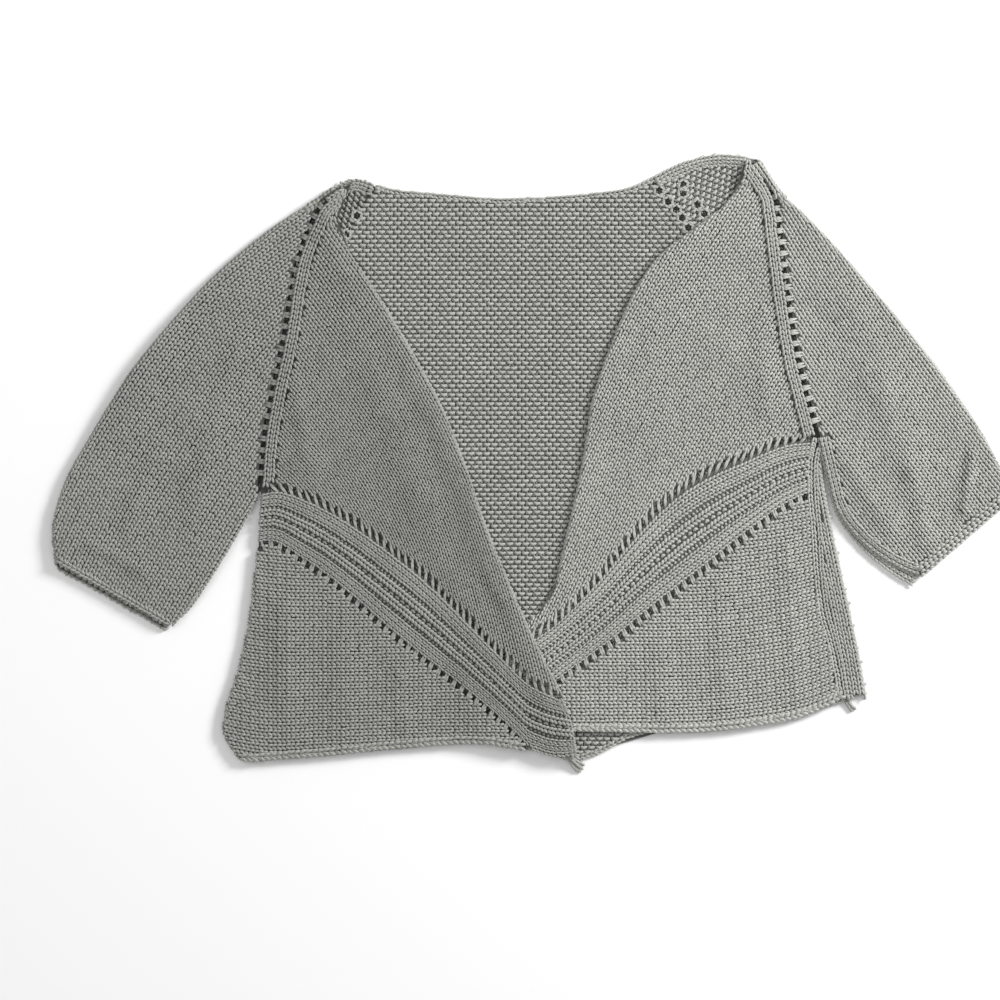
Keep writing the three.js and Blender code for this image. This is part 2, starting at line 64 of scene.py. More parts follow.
# ---- the knitting's sizes -----------------------------------------------------------------------------
WALE = 5.5  # width of a stitch
COURSE = 3.6  # length of a stitch
FINE_WALE = 4.7  # on the upper fronts
DASH = 6.2  # width of a purl bump
SHELL_INSET = 1.2  # of the ground cloth under the stitches, inside the solid cloth's faces
YARN_SINK = 0.75  # middle of a stitch's yarn below the cloth's face
UNDER_Z = 1.25  # middle of the stitches on the side that lies on the floor
LAYER_TOP = 3.0  # top face of the lowest layer
STRIP_TOP = 6.4  # top face of the side strip
FOLD_TURN = 4.1  # outside radius of the sleeves' folds
EDGE_TURN = 3.2  # the same at the sides
NECK_TURN = 3.4  # of the rolled front edges
HEM_TURN = 2.4
FULLNESS = 1.0  # scale of every stitch

# ---- sleeves: fold x, y, front seam x, y, back seam x, y ----------------------------------------------
ARMPIT = 9
right_sleeve = [
    [-156, 222, -149, 220, -124, 224],
    [-169, 212.5, -166, 208, -138.4, 199.2],
    [-184, 203.5, -174.4, 192, -147.2, 184],
    [-206, 189, -183.5, 171, -156, 162],
    [-231, 169.5, -189.5, 146, -167, 134],
    [-255, 148, -193.8, 118, -178, 104],
    [-281, 120, -199.5, 87, -189, 74],
    [-304, 93, -206, 58, -200, 46],
    [-319, 74, -212.5, 20, -209, 15],
    [-332, 54, -215.8, -20, -215.8, -20],
    [-352, 21, -231.2, -52, -231.2, -52],
    [-369, -9, -250.4, -84, -250.4, -84],
    [-381, -47, -273.6, -116, -273.6, -116],
    [-379, -83, -291.2, -133, -291.2, -133],
]
left_sleeve = [
    [183, 243.5, 178.5, 241, 98, 230],
    [199, 219, 194.5, 216, 120, 206],
    [215, 204, 197.4, 202, 131, 193],
    [233, 186, 199.4, 184, 143, 178],
    [252, 165.5, 202, 163, 156, 160],
    [271, 143.5, 205, 140, 170, 140],
    [289, 122.5, 208.8, 114, 184, 116],
    [305, 103.5, 213.5, 86, 198, 88],
    [317, 88.5, 221, 56, 213, 56],
    [329, 73, 230, 22, 230, 22],
    [345, 50, 237.5, -10, 237.5, -10],
    [360, 27, 246, -38, 245, -39],
    [372, 5, 265, -62, 263, -64],
    [380, -14, 290, -80, 286, -84],
    [381.5, -31, 313, -90, 305, -96],
]
# ---- edges and seams of the body: steps along the smooth line, and the x, y that it goes through ------
outline = {
    "back_neck": (50, [
        [-124, 224], [-114, 221.5], [-100, 219.2], [-64, 216], [-24, 213], [16, 214.5], [56, 218],
        [80, 222], [98, 230],
    ]),
    "back_hem": (70, [
        [-232, -236.5], [-160, -231], [-104, -225.4], [-40, -221.5], [-3, -227], [33, -235.5],
        [50, -232.5], [88, -215.2], [176, -205.6], [240, -192], [262, -184],
    ]),
    "right_side": (50, [
        [-215.8, -20], [-217.6, -52], [-221, -92], [-226.4, -132], [-234, -165], [-243, -192],
        [-245, -214], [-232, -236.5],
    ]),
    "left_side": (50, [
        [230, 22], [232.5, 6], [233.5, -10], [237.5, -34], [244.5, -68], [255, -116], [262, -150],
        [268, -184],
    ]),
    "right_cap_edge": (12, [[-124, 224], [-140, 228.2], [-156, 222]]),
    "left_cap_edge": (24, [[98, 230], [118, 240], [140.5, 246.7], [164, 247.4], [183, 243.5]]),
    "right_neck": (90, [
        [-142.4, 227], [-149.6, 212], [-154.4, 200], [-155, 193], [-145.6, 172], [-112, 120], [-73.6, 52],
        [-52, 0], [-36.8, -45], [-11.2, -108], [4, -141.6], [26, -185],
    ]),
    "right_point": (10, [[26, -185], [34, -208], [37.5, -232]]),
    "right_band_top": (90, [
        [-215.8, -20], [-202.4, -17.6], [-181.6, -23.2], [-152, -37.6], [-115.2, -62.4], [-80.8, -90.4],
        [-53.6, -118.4], [-28, -144.8], [-2.4, -169.6], [26, -185],
    ]),
    "right_band_foot": (80, [
        [-218.5, -64], [-204, -63], [-182.4, -76.5], [-163.2, -89.6], [-140.8, -108], [-112, -133.6],
        [-84, -156.8], [-55.2, -178.4], [-28.8, -200], [-10.4, -216.8], [0, -227.5],
    ]),
    "right_band_end": (12, [[0, -227.5], [18, -233], [37.5, -232]]),
    "right_hem": (50, [
        [-232, -236.5], [-216, -236], [-160, -231.6], [-104, -226], [-40, -222.4], [-6, -227.5],
    ]),
    "left_neck": (100, [
        [172.5, 244.5], [170.4, 229.6], [158.4, 210.4], [136, 191.2], [104, 167.2], [84, 138.4],
        [65.6, 96.8], [50.4, 52], [44, 12], [36, -28], [27, -66.4], [19.5, -98], [9, -116], [-4, -127],
        [-20, -147],
    ]),
    "left_point": (14, [[-20, -147], [-28, -175], [-22, -202]]),
    "left_band_top": (90, [
        [-20, -147], [4, -134.4], [18.4, -125], [37.6, -107.2], [56.8, -86.4], [77.6, -60], [96.8, -38.4],
        [114.4, -21.6], [136, -7.2], [170.4, 7.2], [205, 20], [230, 22],
    ]),
    "left_band_foot": (80, [
        [-22, -202], [0, -190], [27.2, -169.6], [64, -143.2], [97.6, -116], [139.2, -84], [169.6, -58.4],
        [201.6, -34.5], [226, -22],
    ]),
    "left_seam_upper": (14, [[230, 22], [226, 2], [226, -22]]),
    "left_seam_lower": (40, [
        [226, -22], [229, -56], [231.2, -88], [235.2, -118.4], [242, -143], [247, -166], [250.5, -186],
    ]),
    "left_hem": (60, [
        [-16, -210], [24, -212], [70, -213], [110, -213.4], [142, -212.4], [174, -208.8], [216, -201],
        [250.5, -186],
    ]),
}

# ---- lines that the wales follow, a first and a last one for each part --------------------------------
wales = {
    "sleeve_right": (
        [[-115, 258.5], [-140, 236], [-206, 189], [-255, 148], [-304, 93], [-332, 54], [-362, 5], [-392, -60],
         [-410, -110]],
        [[-15, 147.5], [-40, 125], [-114, 58], [-152.6, 12], [-173.8, -22], [-253.3, -149], [-285, -200]],
    ),
    "sleeve_left": (
        [[148.5, 296], [170, 262], [250.6, 135.5], [309.4, 54.6], [403.8, -62]],
        [[55.5, 237], [77, 203], [157.8, 76.5], [216.6, -4.4], [311, -121]],
    ),
    "front_right_upper": (
        [[-296.5, 106], [-203, 16], [-163, -28.6], [-128, -90], [-112, -160], [-109, -245]],
        [[-160.6, 219.3], [-143, 195], [-88, 112], [-33.5, 5], [7, -108], [35, -204]],
    ),
    "front_left_upper": (
        [[185, 290], [130.5, 206], [79, 120.5], [33.6, 31.4], [-8.7, -59], [-42.5, -131.7], [-68, -186]],
        [[311, 208], [256.5, 124], [202, 40], [150.5, -45.6], [105, -134.7], [70, -206], [45, -260]],
    ),
    "front_right_lower": (
        [[-262, -56], [-215, -66], [-160, -70], [-60, -70], [20, -70]],
        [[-262, -226], [-215, -236], [-160, -234], [-60, -230], [20, -230]],
    ),
    "front_left_lower": (
        [[-30, -20], [60, -20], [160, -18], [250, -4]],
        [[-30, -217], [60, -217], [150, -215], [215, -205], [262, -187]],
    ),
    "back": ([[-252, 262], [-252, -262]], [[288, 262], [288, -262]]),
}


# ---- paths and areas on the plane ---------------------------------------------------------------------
def lengths(path):
    """How far along the path each of its points lies."""
    return np.concatenate([[0], np.cumsum(np.linalg.norm(np.diff(path, axis=0), axis=1))])


def smooth_path(points, count):
    """Points evenly spaced along a smooth curve through the given ones."""
    p = np.array(points, float)
    p = np.vstack([2 * p[0] - p[1], p, 2 * p[-1] - p[-2]])
    knots = np.concatenate([[0], np.cumsum(np.sqrt(np.linalg.norm(np.diff(p, axis=0), axis=1)))])
    parts = []
    for k in range(1, len(p) - 2):
        t0, t1, t2, t3 = knots[k - 1 : k + 3]
        t = np.linspace(t1, t2, 24, endpoint=False)[:, None]
        a1 = ((t1 - t) * p[k - 1] + (t - t0) * p[k]) / (t1 - t0)
        a2 = ((t2 - t) * p[k] + (t - t1) * p[k + 1]) / (t2 - t1)
        a3 = ((t3 - t) * p[k + 1] + (t - t2) * p[k + 2]) / (t3 - t2)
        b1 = ((t2 - t) * a1 + (t - t0) * a2) / (t2 - t0)
        b2 = ((t3 - t) * a2 + (t - t1) * a3) / (t3 - t1)
        parts.append(((t2 - t) * b1 + (t - t1) * b2) / (t2 - t1))
    fine = np.vstack(parts + [p[-2:-1]])
    along = lengths(fine)
    return at_lengths(fine, np.linspace(0, along[-1], count))


def at_lengths(path, wanted):
    """The path's places at the wanted lengths."""
    along = lengths(path)
    return np.column_stack([np.interp(wanted, along, path[:, c]) for c in range(path.shape[1])])


def unit(v):
    return v / np.maximum(np.linalg.norm(v, axis=-1, keepdims=True), 1e-9)


def crosswise(v):
    """Directions on the plane turned a quarter to the left."""
    return np.column_stack([-v[:, 1], v[:, 0]])


def straight(*points):
    return np.array(points, float)


def nearest(points, path):
    """Distance to a path, the closest point on it and the path's direction there."""
    start, step = path[:-1], np.diff(path, axis=0)
    share = np.clip(((points[:, None] - start) * step).sum(2) / (step * step).sum(1), 0, 1)
    foot = start + share[..., None] * step
    away = np.linalg.norm(points[:, None] - foot, axis=2)
    k = away.argmin(1)
    rows = np.arange(len(points))
    return away[rows, k], foot[rows, k], unit(step[k])


def inside(points, ring):
    """Which points lie within a closed outline, by how often a line from each crosses it."""
    x, y = points[:, 0:1], points[:, 1:2]
    ax, ay = ring.T
    bx, by = np.roll(ring, -1, axis=0).T
    rise = np.where(by == ay, 1, by - ay)
    return (((ay > y) != (by > y)) & (x < (bx - ax) * (y - ay) / rise + ax)).sum(1) % 2 == 1


def columns(table, column, start=0, end=None):
    """The x, y that stand from a column on, in some of a table's rows."""
    return [line[column : column + 2] for line in table[start:end]]


paths = {name: smooth_path(points, count) for name, (count, points) in outline.items()}
first = {name: points[0] for name, (_, points) in outline.items()}
last = {name: points[-1] for name, (_, points) in outline.items()}
for side, cloth_rows in (("right", right_sleeve), ("left", left_sleeve)):
    paths[side + "_raglan"] = smooth_path(columns(cloth_rows, 2, 0, ARMPIT + 1), 60)
    paths[side + "_back_raglan"] = smooth_path(columns(cloth_rows, 4, 0, ARMPIT + 1), 60)
    paths[side + "_underarm"] = smooth_path(columns(cloth_rows, 2, ARMPIT), 30)
    paths[side + "_fold"] = smooth_path(columns(cloth_rows, 0), 90)
    paths[side + "_cuff"] = straight(cloth_rows[-1][2:4], cloth_rows[-1][0:2])
    paths[side + "_cap"] = straight(cloth_rows[0][0:2], cloth_rows[0][2:4])
paths["left_under_edge"] = smooth_path(columns(left_sleeve, 4, ARMPIT), 30)
paths["right_shoulder"] = straight(right_sleeve[0][2:4], first["right_neck"])
paths["left_shoulder"] = straight(first["left_neck"], left_sleeve[0][2:4])
band_corner = np.linalg.norm(paths["right_side"] - np.array(first["right_band_foot"]), axis=1).argmin()
paths["right_side_band"] = paths["right_side"][: band_corner + 1]
paths["right_side_lower"] = paths["right_side"][band_corner:]
paths["left_lower_end"] = straight(first["left_band_foot"], first["left_hem"])
paths["left_seam"] = np.vstack([paths["left_seam_upper"], paths["left_seam_lower"][1:]])
paths["strip_hem"] = straight(last["left_seam_lower"], last["left_side"])


def ring_of(names):
    """A closed outline from paths that follow each other; a name with a minus runs backwards."""
    return np.vstack([paths[name[1:]][::-1] if name[0] == "-" else paths[name] for name in names.split()])


rings = {
    "front_right_upper": ring_of("right_raglan right_band_top -right_neck"),
    "front_right_band": ring_of(
        "right_band_top right_point -right_band_end -right_band_foot -right_side_band"
    ),
    "front_right_lower": ring_of("right_band_foot -right_hem -right_side_lower"),
    "front_left_upper": ring_of("left_raglan -left_band_top -left_neck"),
    "front_left_band": ring_of("left_band_top left_seam_upper -left_band_foot -left_point"),
    "front_left_lower": ring_of("left_band_foot left_seam_lower -left_hem"),
    "strip": ring_of("left_seam -left_side"),
    "back": ring_of("back_neck left_back_raglan left_side -back_hem -right_side -right_back_raglan"),
    "right_front": ring_of("right_raglan right_side right_hem right_band_end -right_point -right_neck"),
    "left_front": ring_of("left_raglan left_seam -left_hem left_lower_end -left_point -left_neck"),
}
for side in SIDES:
    around = f"{side}_underarm {side}_cuff -{side}_fold"
    rings[f"sleeve_{side}"] = ring_of(f"{side}_raglan {around}")
    rings[f"sleeve_{side}_under"] = ring_of(f"{side}_back_raglan {around} -{side}_cap_edge")
    rings[f"{side}_sleeve_inside"] = ring_of(f"{side}_raglan -{side}_back_raglan {side}_cap_edge")


# ---- how high the cloth lies --------------------------------------------------------------------------
# Soft folds that stand up from the flat cloth: first x, y, last x, y, half width, height
folds = {
    "sleeve_right": [
        [-262, 168, -322, 30, 17, 2.8], [-230, 96, -268, -40, 13, 2.4], [-350, -62, -308, -84, 7, 1.8],
        [-292, 20, -318, -50, 10, 2.0],
    ],
    "sleeve_left": [
        [262, 122, 304, 8, 18, 3.0], [308, -4, 318, -58, 11, 3.0], [354, 8, 348, -34, 6, 3.0],
        [250, 10, 290, -50, 10, 2.2],
    ],
    "front_right_upper": [
        [-150, 150, -84, -30, 18, 2.2], [-188, 70, -176, 6, 12, 1.8],
    ],
    "front_left_upper": [
        [136, 200, 78, 40, 17, 2.4], [186, 120, 190, 44, 9, 2.0],
    ],
    "front_right_lower": [
        [-196, -112, -190, -212, 11, 1.8], [-150, -134, -146, -212, 12, 1.6],
        [-104, -166, -100, -208, 9, 1.5],
    ],
    "front_left_lower": [
        [104, -138, 108, -200, 10, 1.6], [152, -96, 158, -196, 11, 1.9], [206, -66, 214, -178, 9, 1.7],
    ],
}


def read(items, field, width=1, kind=float):
    """A field of a mesh's vertices, loops or faces as an array."""
    values = np.empty(len(items) * width, kind)
    items.foreach_get(field, values)
    return values.reshape(-1, width) if width > 1 else values


def show(name, data):
    """A new object at the origin, in the scene."""
    made = bpy.data.objects.new(name, data)
    bpy.context.scene.collection.objects.link(made)
    return made


class Heights:
    """The upper face of a piece of cloth as a smooth height over the plane."""

    STEP = 3.0  # of the grid
    MARGIN = 12  # of the grid round the piece
    SETTLE = 3  # times that the heights are evened out
    FROM_ABOVE = 60
    UPWARD = 0.85  # least rise of a normal that counts as the upper face

    def __init__(self, node):
        mesh = frame["nodes"][node].data
        corners = read(mesh.vertices, "co", 3) / MM
        tree = BVHTree.FromPolygons(corners.tolist(), [tuple(p.vertices) for p in mesh.polygons])
        self.low = corners.min(0)[:2] - self.MARGIN
        size = np.ceil((corners.max(0)[:2] + self.MARGIN - self.low) / self.STEP).astype(int) + 1
        z, known = np.zeros(size), np.zeros(size)
        down = Vector((0, 0, -1))
        for i, j in np.ndindex(*size):
            x, y = self.low + self.STEP * np.array([i, j])
            place, normal, _, _ = tree.ray_cast(Vector((x, y, self.FROM_ABOVE)), down)
            if place is not None and normal.z > self.UPWARD:
                z[i, j], known[i, j] = place.z, 1
        while not known.all():
            total, weight = self.spread(z * known), self.spread(known)
            new = (known == 0) & (weight > 0)
            z[new] = total[new] / weight[new]
            known[new] = 1
        for _ in range(self.SETTLE):
            z = self.spread(z) / self.spread(np.ones(size))
        self.z = z
        self.folds = folds.get(node, [])

    @staticmethod
    def spread(field):
        """Each value with its eight neighbours' added, by weights of 4, 2 and 1."""
        wide = np.pad(field, 1)
        return sum(
            (2 - abs(a)) * (2 - abs(b)) * wide[1 + a : wide.shape[0] - 1 + a, 1 + b : wide.shape[1] - 1 + b]
            for a in (-1, 0, 1)
            for b in (-1, 0, 1)
        )

    def __call__(self, points):
        place = (points - self.low) / self.STEP
        cell = np.clip(np.floor(place).astype(int), 0, np.array(self.z.shape) - 2)
        u, v = np.clip(place - cell, 0, 1).T
        i, j = cell.T
        z = self.z
        near, far = [z[i, k] * (1 - u) + z[i + 1, k] * u for k in (j, j + 1)]
        height = near * (1 - v) + far * v
        for x0, y0, x1, y1, wide, high in self.folds:
            away = nearest(points, straight([x0, y0], [x1, y1]))[0]
            height += high * np.exp(-((away / wide) ** 2))
        return height


def level(z):
    """A height that is the same everywhere."""
    return lambda points: np.full(len(points), float(z))


# ---- laying stitches ----------------------------------------------------------------------------------
KNIT, PURL, BAR, PLAIN = range(4)
PAST_END = 0.4  # sideways for each mm away, from which a point counts as past the end of an edge
SWAY = 0.05  # how far stitches turn by chance
UNEVEN_YARN = 0.06
UNEVEN_WIDTH = 0.03
# How far a stitch reaches from its place: towards its head, towards its foot, sideways and upwards
TO_HEAD, TO_FOOT, TO_SIDE, TO_TOP = 3.5, 1.35, 2.2, 1.15


def cut(name, inset, square=False):
    """An edge that stitches keep off by inset, and past its ends too unless it is square."""
    return {"path": paths[name], "inset": inset, "turn": 0, "reach": 0, "square": square}


def turned(name, radius, reach=150):
    """An edge that the cloth turns over at a radius, through so many degrees."""
    return {"path": paths[name], "inset": 0, "turn": radius, "reach": math.radians(reach), "square": False}


def chart(lines, wale, course, spare=(0, 0), brick=False):
    """Stitches in wales that run between a first and a last line, in courses across them."""
    sides = smooth_path(lines[0], 200), smooth_path(lines[1], 200)
    count = round((lengths(sides[0])[-1] + lengths(sides[1])[-1]) / 2 / course)
    number = max(round(np.linalg.norm(sides[0] - sides[1], axis=1).mean() / wale), 1)
    t = np.linspace(0, 1, count)
    a, b = [at_lengths(line, t * lengths(line)[-1]) for line in sides]
    u = np.arange(-spare[0], number + 1 + spare[1])[:, None] / number
    if brick:
        u = u + (np.arange(count)[None] % 2) * 0.5 / number
    else:
        u = np.broadcast_to(u, (len(u), count))
    at = a[None] * (1 - u)[..., None] + b[None] * u[..., None]
    step = np.gradient(at, axis=1)
    width = np.broadcast_to(np.linalg.norm(b - a, axis=1)[None] / number, u.shape)
    number_of = np.broadcast_to(np.arange(count)[None], u.shape)
    at, step, width, number_of = [np.array(v).reshape(-1, *v.shape[2:]) for v in (at, step, width, number_of)]
    return {
        "at": at, "along": unit(step), "width": width, "length": np.linalg.norm(step, axis=1),
        "course": number_of,
    }


def row(path, offset, spacing, width, lean=0.0, shift=0.0, length=None):
    """Stitches at even spacing along a path, moved off to its left by offset."""
    total = lengths(path)[-1]
    count = max(int(round(total / spacing)), 2)
    wanted = (np.arange(count) + 0.5 + shift) * total / count
    at, ahead, behind = [at_lengths(path, np.clip(wanted + more, 0, total)) for more in (0, 0.5, -0.5)]
    way = unit(ahead - behind)
    side = crosswise(way)
    return {
        "at": at + side * offset, "along": way * math.cos(lean) + side * math.sin(lean),
        "width": np.full(count, float(width)), "length": np.full(count, float(length or total / count)),
    }


def turned_crosswise(stitches):
    return {**stitches, "along": crosswise(stitches["along"])}


def courses_with(stitches, chosen):
    """The stitches of a chart whose course is chosen."""
    return {key: value[chosen(stitches["course"])] for key, value in stitches.items()}


def between(top, foot, share, spacing, width):
    """A row of stitches that runs between two edges of a band, part of the way from one to the other."""
    a, b = [at_lengths(p, np.linspace(0, lengths(p)[-1], 80)) for p in (top, foot)]
    return row(a * (1 - share) + b * share, 0, spacing, width)


class Cloth:
    """The stitches of one piece, gathered as points with a kind, a turn and a size."""

    def __init__(self):
        self.parts = []

    def lay(self, stitches, kind, top, ring=None, edges=(), lift=0.0, full=1.0, loose=0.25, under=False,
            keep=None, shadow=0.0):
        """Lays stitches on the cloth's top, round the edges that it turns over, and within a ring.

        Lift raises them and full thickens their yarn. Loose scatters them, keep says which places may have
        one, shadow darkens them, and under lays them face down.
        """
        at, along = stitches["at"].copy(), stitches["along"].copy()
        number = len(at)
        at += chance.normal(0, loose, at.shape) * 0.5
        sway = chance.normal(0, SWAY if loose else 0, number)
        along = along + sway[:, None] * crosswise(along)
        on = np.ones(number, bool) if ring is None else inside(at, ring)
        kept = np.ones(number, bool) if keep is None else keep(at)
        found = [nearest(at, e["path"]) for e in edges]
        past_end = [np.abs(((at - foot) * way).sum(1)) > PAST_END * away + 0.05 for away, foot, way in found]
        close = np.array([f[0] for f in found]).argmin(0) if edges else np.zeros(number, int)
        spare = np.zeros(number, bool)
        for k, e in enumerate(edges):
            away = found[k][0]
            kept &= (away >= e["inset"]) | (past_end[k] & e["square"])
            spare |= (close == k) & (away <= e["turn"] * (e["reach"] - 1)) & (e["turn"] > 0) & ~past_end[k]
        kept &= on | spare
        base = at.copy()
        inward, phi = np.zeros_like(at), np.zeros(number)
        radius = np.ones(number)
        for k, e in enumerate(edges):
            if not e["turn"]:
                continue
            away, foot, way = found[k]
            side = crosswise(way)
            facing = np.sign(((at - foot) * side).sum(1))
            facing[facing == 0] = 1
            side *= (facing * np.where(on, 1, -1))[:, None]
            signed = np.where(on, away, -away)
            use = kept & (signed < e["turn"]) & (close == k) & ~past_end[k]
            base[use] = (foot + side * e["turn"])[use]
            inward[use] = side[use]
            phi[use] = ((e["turn"] - signed) / e["turn"])[use]
            radius[use] = e["turn"]
        z = top(base)
        slope = np.column_stack([top(base + axis) - top(base - axis) for axis in np.eye(2)]) / 2
        out = np.column_stack([-inward * np.sin(phi)[:, None], np.cos(phi)])
        rounded = phi > 0
        plain = unit(np.column_stack([-slope, np.ones(number)]))
        up = np.where(rounded[:, None], out, plain)
        place = np.column_stack([base, z]) + plain * (lift - YARN_SINK)
        bent = np.column_stack([base, z - radius]) + out * (radius - YARN_SINK + lift)[:, None]
        place = np.where(rounded[:, None], bent, place)
        if under:
            up = np.tile([0.0, 0.0, -1.0], (number, 1))
            place = np.column_stack([at, z])
        lead = (along * inward).sum(1)
        around = np.column_stack([along - inward * lead[:, None], np.zeros(number)])
        around += np.column_stack([inward * np.cos(phi)[:, None], np.sin(phi)]) * lead[:, None]
        straight = np.column_stack([along, (along * slope).sum(1)])
        ahead = np.where(rounded[:, None], around, straight)
        ahead = unit(ahead - up * (ahead * up).sum(1, keepdims=True))
        wide = stitches["width"] / {PURL: DASH, BAR: 1.0}.get(kind, WALE)
        tall = stitches["length"] / (1.0 if kind == BAR else COURSE)
        if kind == PURL:
            tall = np.full(number, 1.0)
        plump = full * chance.normal(1, UNEVEN_YARN if loose else 0, number)
        size = np.column_stack([wide * chance.normal(1, UNEVEN_WIDTH, number), tall, plump])
        # Random tone from stitch to stitch, less the painted shadow asked for
        shade = chance.normal(0, 1, number) - shadow
        across = np.cross(ahead, up)
        tip = np.maximum(-TO_HEAD * ahead[:, 2], TO_FOOT * ahead[:, 2]) + TO_SIDE * np.abs(across[:, 2])
        lowest = place[:, 2] - tip - np.where(up[:, 2] < 0, -TO_TOP * up[:, 2], up[:, 2])
        pick = kept & (lowest > 0)
        fields = (place, across, ahead, up, size, shade, np.full(number, kind))
        self.parts.append([field[pick] for field in fields])

    def points(self, name):
        """A mesh of loose points that carries the stitches' turns and sizes."""
        place, x, y, z, size, shade, kind = [np.concatenate(group) for group in zip(*self.parts)]
        turn = np.column_stack([
            np.arctan2(y[:, 2], z[:, 2]),
            -np.arcsin(np.clip(x[:, 2], -1, 1)),
            np.arctan2(x[:, 1], x[:, 0]),
        ])
        mesh = bpy.data.meshes.new(name)
        mesh.vertices.add(len(place))
        mesh.vertices.foreach_set("co", (place * MM).ravel())
        for label, kind_of, field, values in (
            ("turn", "FLOAT_VECTOR", "vector", turn),
            ("size", "FLOAT_VECTOR", "vector", size),
            ("shade", "FLOAT", "value", shade),
            ("kind", "INT", "value", kind),
        ):
            mesh.attributes.new(label, kind_of, "POINT").data.foreach_set(field, np.ravel(values))
        return show(name, mesh)


# ---- one stitch of each kind --------------------------------------------------------------------------
def yarn_mesh(name, strands, sides=4):
    """Closed strands of yarn. Each is a start tip, rings of x, y, z, radius, and an end tip."""
    bm = bmesh.new()
    ply = bm.loops.layers.uv.new("ply")
    for rings_of in strands:
        p = np.array(rings_of, float)
        way = unit(np.gradient(p[:, :3], axis=0))
        loops = []
        for k in range(1, len(p) - 1):
            across = unit(np.cross(way[k], [0, 0, 1.0]))
            over = np.cross(across, way[k])
            angles = 2 * math.pi * np.arange(sides) / sides
            spokes = [across * math.cos(a) + over * math.sin(a) for a in angles]
            loops.append([bm.verts.new((p[k, :3] + p[k, 3] * spoke) * MM) for spoke in spokes])
        tips = [bm.verts.new(p[k, :3] * MM) for k in (0, -1)]
        span = len(loops) + 1

        def face(corners, marks):
            made = bm.faces.new(corners)
            made.smooth = True
            for loop, (u, v) in zip(made.loops, marks):
                loop[ply].uv = (u / sides, v / span)

        for j in range(sides):
            n = (j + 1) % sides
            face((tips[0], loops[0][n], loops[0][j]), ((j + 0.5, 0), (j + 1, 1), (j, 1)))
            face((tips[1], loops[-1][j], loops[-1][n]), ((j + 0.5, span), (j, span - 1), (j + 1, span - 1)))
            for k in range(len(loops) - 1):
                face(
                    (loops[k][j], loops[k][n], loops[k + 1][n], loops[k + 1][j]),
                    ((j, k + 1), (j + 1, k + 1), (j + 1, k + 2), (j, k + 2)),
                )
    bmesh.ops.recalc_face_normals(bm, faces=bm.faces)
    mesh = bpy.data.meshes.new(name)
    bm.to_mesh(mesh)
    bm.free()
    return mesh


def mirrored(strand):
    return [[-p[0], *p[1:]] for p in strand]


# A strand's start tip, then x, y, z and radius of each ring, then its end tip
knit_leg = [
    [-0.45, -1.35, -1.0], [-0.8, -0.6, 0.1, 0.95], [-1.4, 1.0, 0.45, 1.15], [-1.95, 2.5, 0.1, 0.95],
    [-2.15, 3.5, -1.0],
]
purl_arc = [
    [-3.2, -0.75, -1.2], [-2.15, -0.35, 0.1, 1.1], [0, 0.3, 0.5, 1.4], [2.15, -0.35, 0.1, 1.1],
    [3.2, -0.75, -1.2],
]
bar_line = [[0, -0.6, -0.9], [0, -0.42, 0, 1.05], [0, 0, 0.25, 1.2], [0, 0.42, 0, 1.05], [0, 0.6, -0.9]]
plain_leg = [[-0.3, -1.1, -0.45], [-1.4, 1.05, 0.0, 1.15], [-2.4, 3.2, -0.45]]


def tipped(strand):
    """Gives the two tips the radius column that the rings have."""
    return [[*p, 0.0] if len(p) == 3 else p for p in strand]


stitch_kinds = bpy.data.collections.new("stitch_kinds")
bpy.context.scene.collection.children.link(stitch_kinds)
for label, strands in (
    ("kind_0_knit", [knit_leg, mirrored(knit_leg)]),
    ("kind_1_purl", [purl_arc]),
    ("kind_2_bar", [bar_line]),
    ("kind_3_plain", [plain_leg, mirrored(plain_leg)]),
):
    stitch_kinds.objects.link(bpy.data.objects.new(label, yarn_mesh(label, [tipped(s) for s in strands])))


# ---- the tree that knits: a stitch of the right kind at each point ------------------------------------
def add_node(tree, kind, settings=None, **values):
    """A node with its settings made first, then its sockets' values or links; i0 is its first socket."""
    made = tree.nodes.new(kind)
    for key, value in (settings or {}).items():
        setattr(made, key, value)
    for key, value in values.items():
        numbered = key[0] == "i" and key[1:].isdigit()
        socket = made.inputs[int(key[1:]) if numbered else key.replace("_", " ")]
        value = getattr(value, "socket", value)
        if isinstance(value, bpy.types.NodeSocket):
            tree.links.new(value, socket)
        else:
            socket.default_value = value
    return made


def knitting_tree():
    tree = bpy.data.node_groups.new("knitting", "GeometryNodeTree")
    for label, socket in (("Points", "NodeSocketGeometry"), ("Stitch Kinds", "NodeSocketCollection"),
                          ("Yarn", "NodeSocketMaterial"), ("Fullness", "NodeSocketFloat")):
        tree.interface.new_socket(name=label, in_out="INPUT", socket_type=socket)
    tree.interface.new_socket(name="Knitting", in_out="OUTPUT", socket_type="NodeSocketGeometry")

    def node(kind, settings=None, **values):
        return add_node(tree, kind, settings, **values).outputs

    def attribute(label, kind):
        return node("GeometryNodeInputNamedAttribute", {"data_type": kind}, Name=label)["Attribute"]

    given = node("NodeGroupInput")
    kinds = node("GeometryNodeCollectionInfo", Separate_Children=True, Reset_Children=True,
                 Collection=given["Stitch Kinds"])
    turn = node("FunctionNodeEulerToRotation", Euler=attribute("turn", "FLOAT_VECTOR"))
    size = node("ShaderNodeVectorMath", {"operation": "SCALE"}, i0=attribute("size", "FLOAT_VECTOR"),
                Scale=given["Fullness"])
    place = node("GeometryNodeInstanceOnPoints", Points=given["Points"], Instance=kinds[0],
                 Pick_Instance=True, Instance_Index=attribute("kind", "INT"), Rotation=turn[0], Scale=size[0])
    real = node("GeometryNodeRealizeInstances", i0=place[0])
    yarn = node("GeometryNodeSetMaterial", i0=real[0], Material=given["Yarn"])
    node("NodeGroupOutput", i0=yarn[0])
    return tree


knitting = knitting_tree()


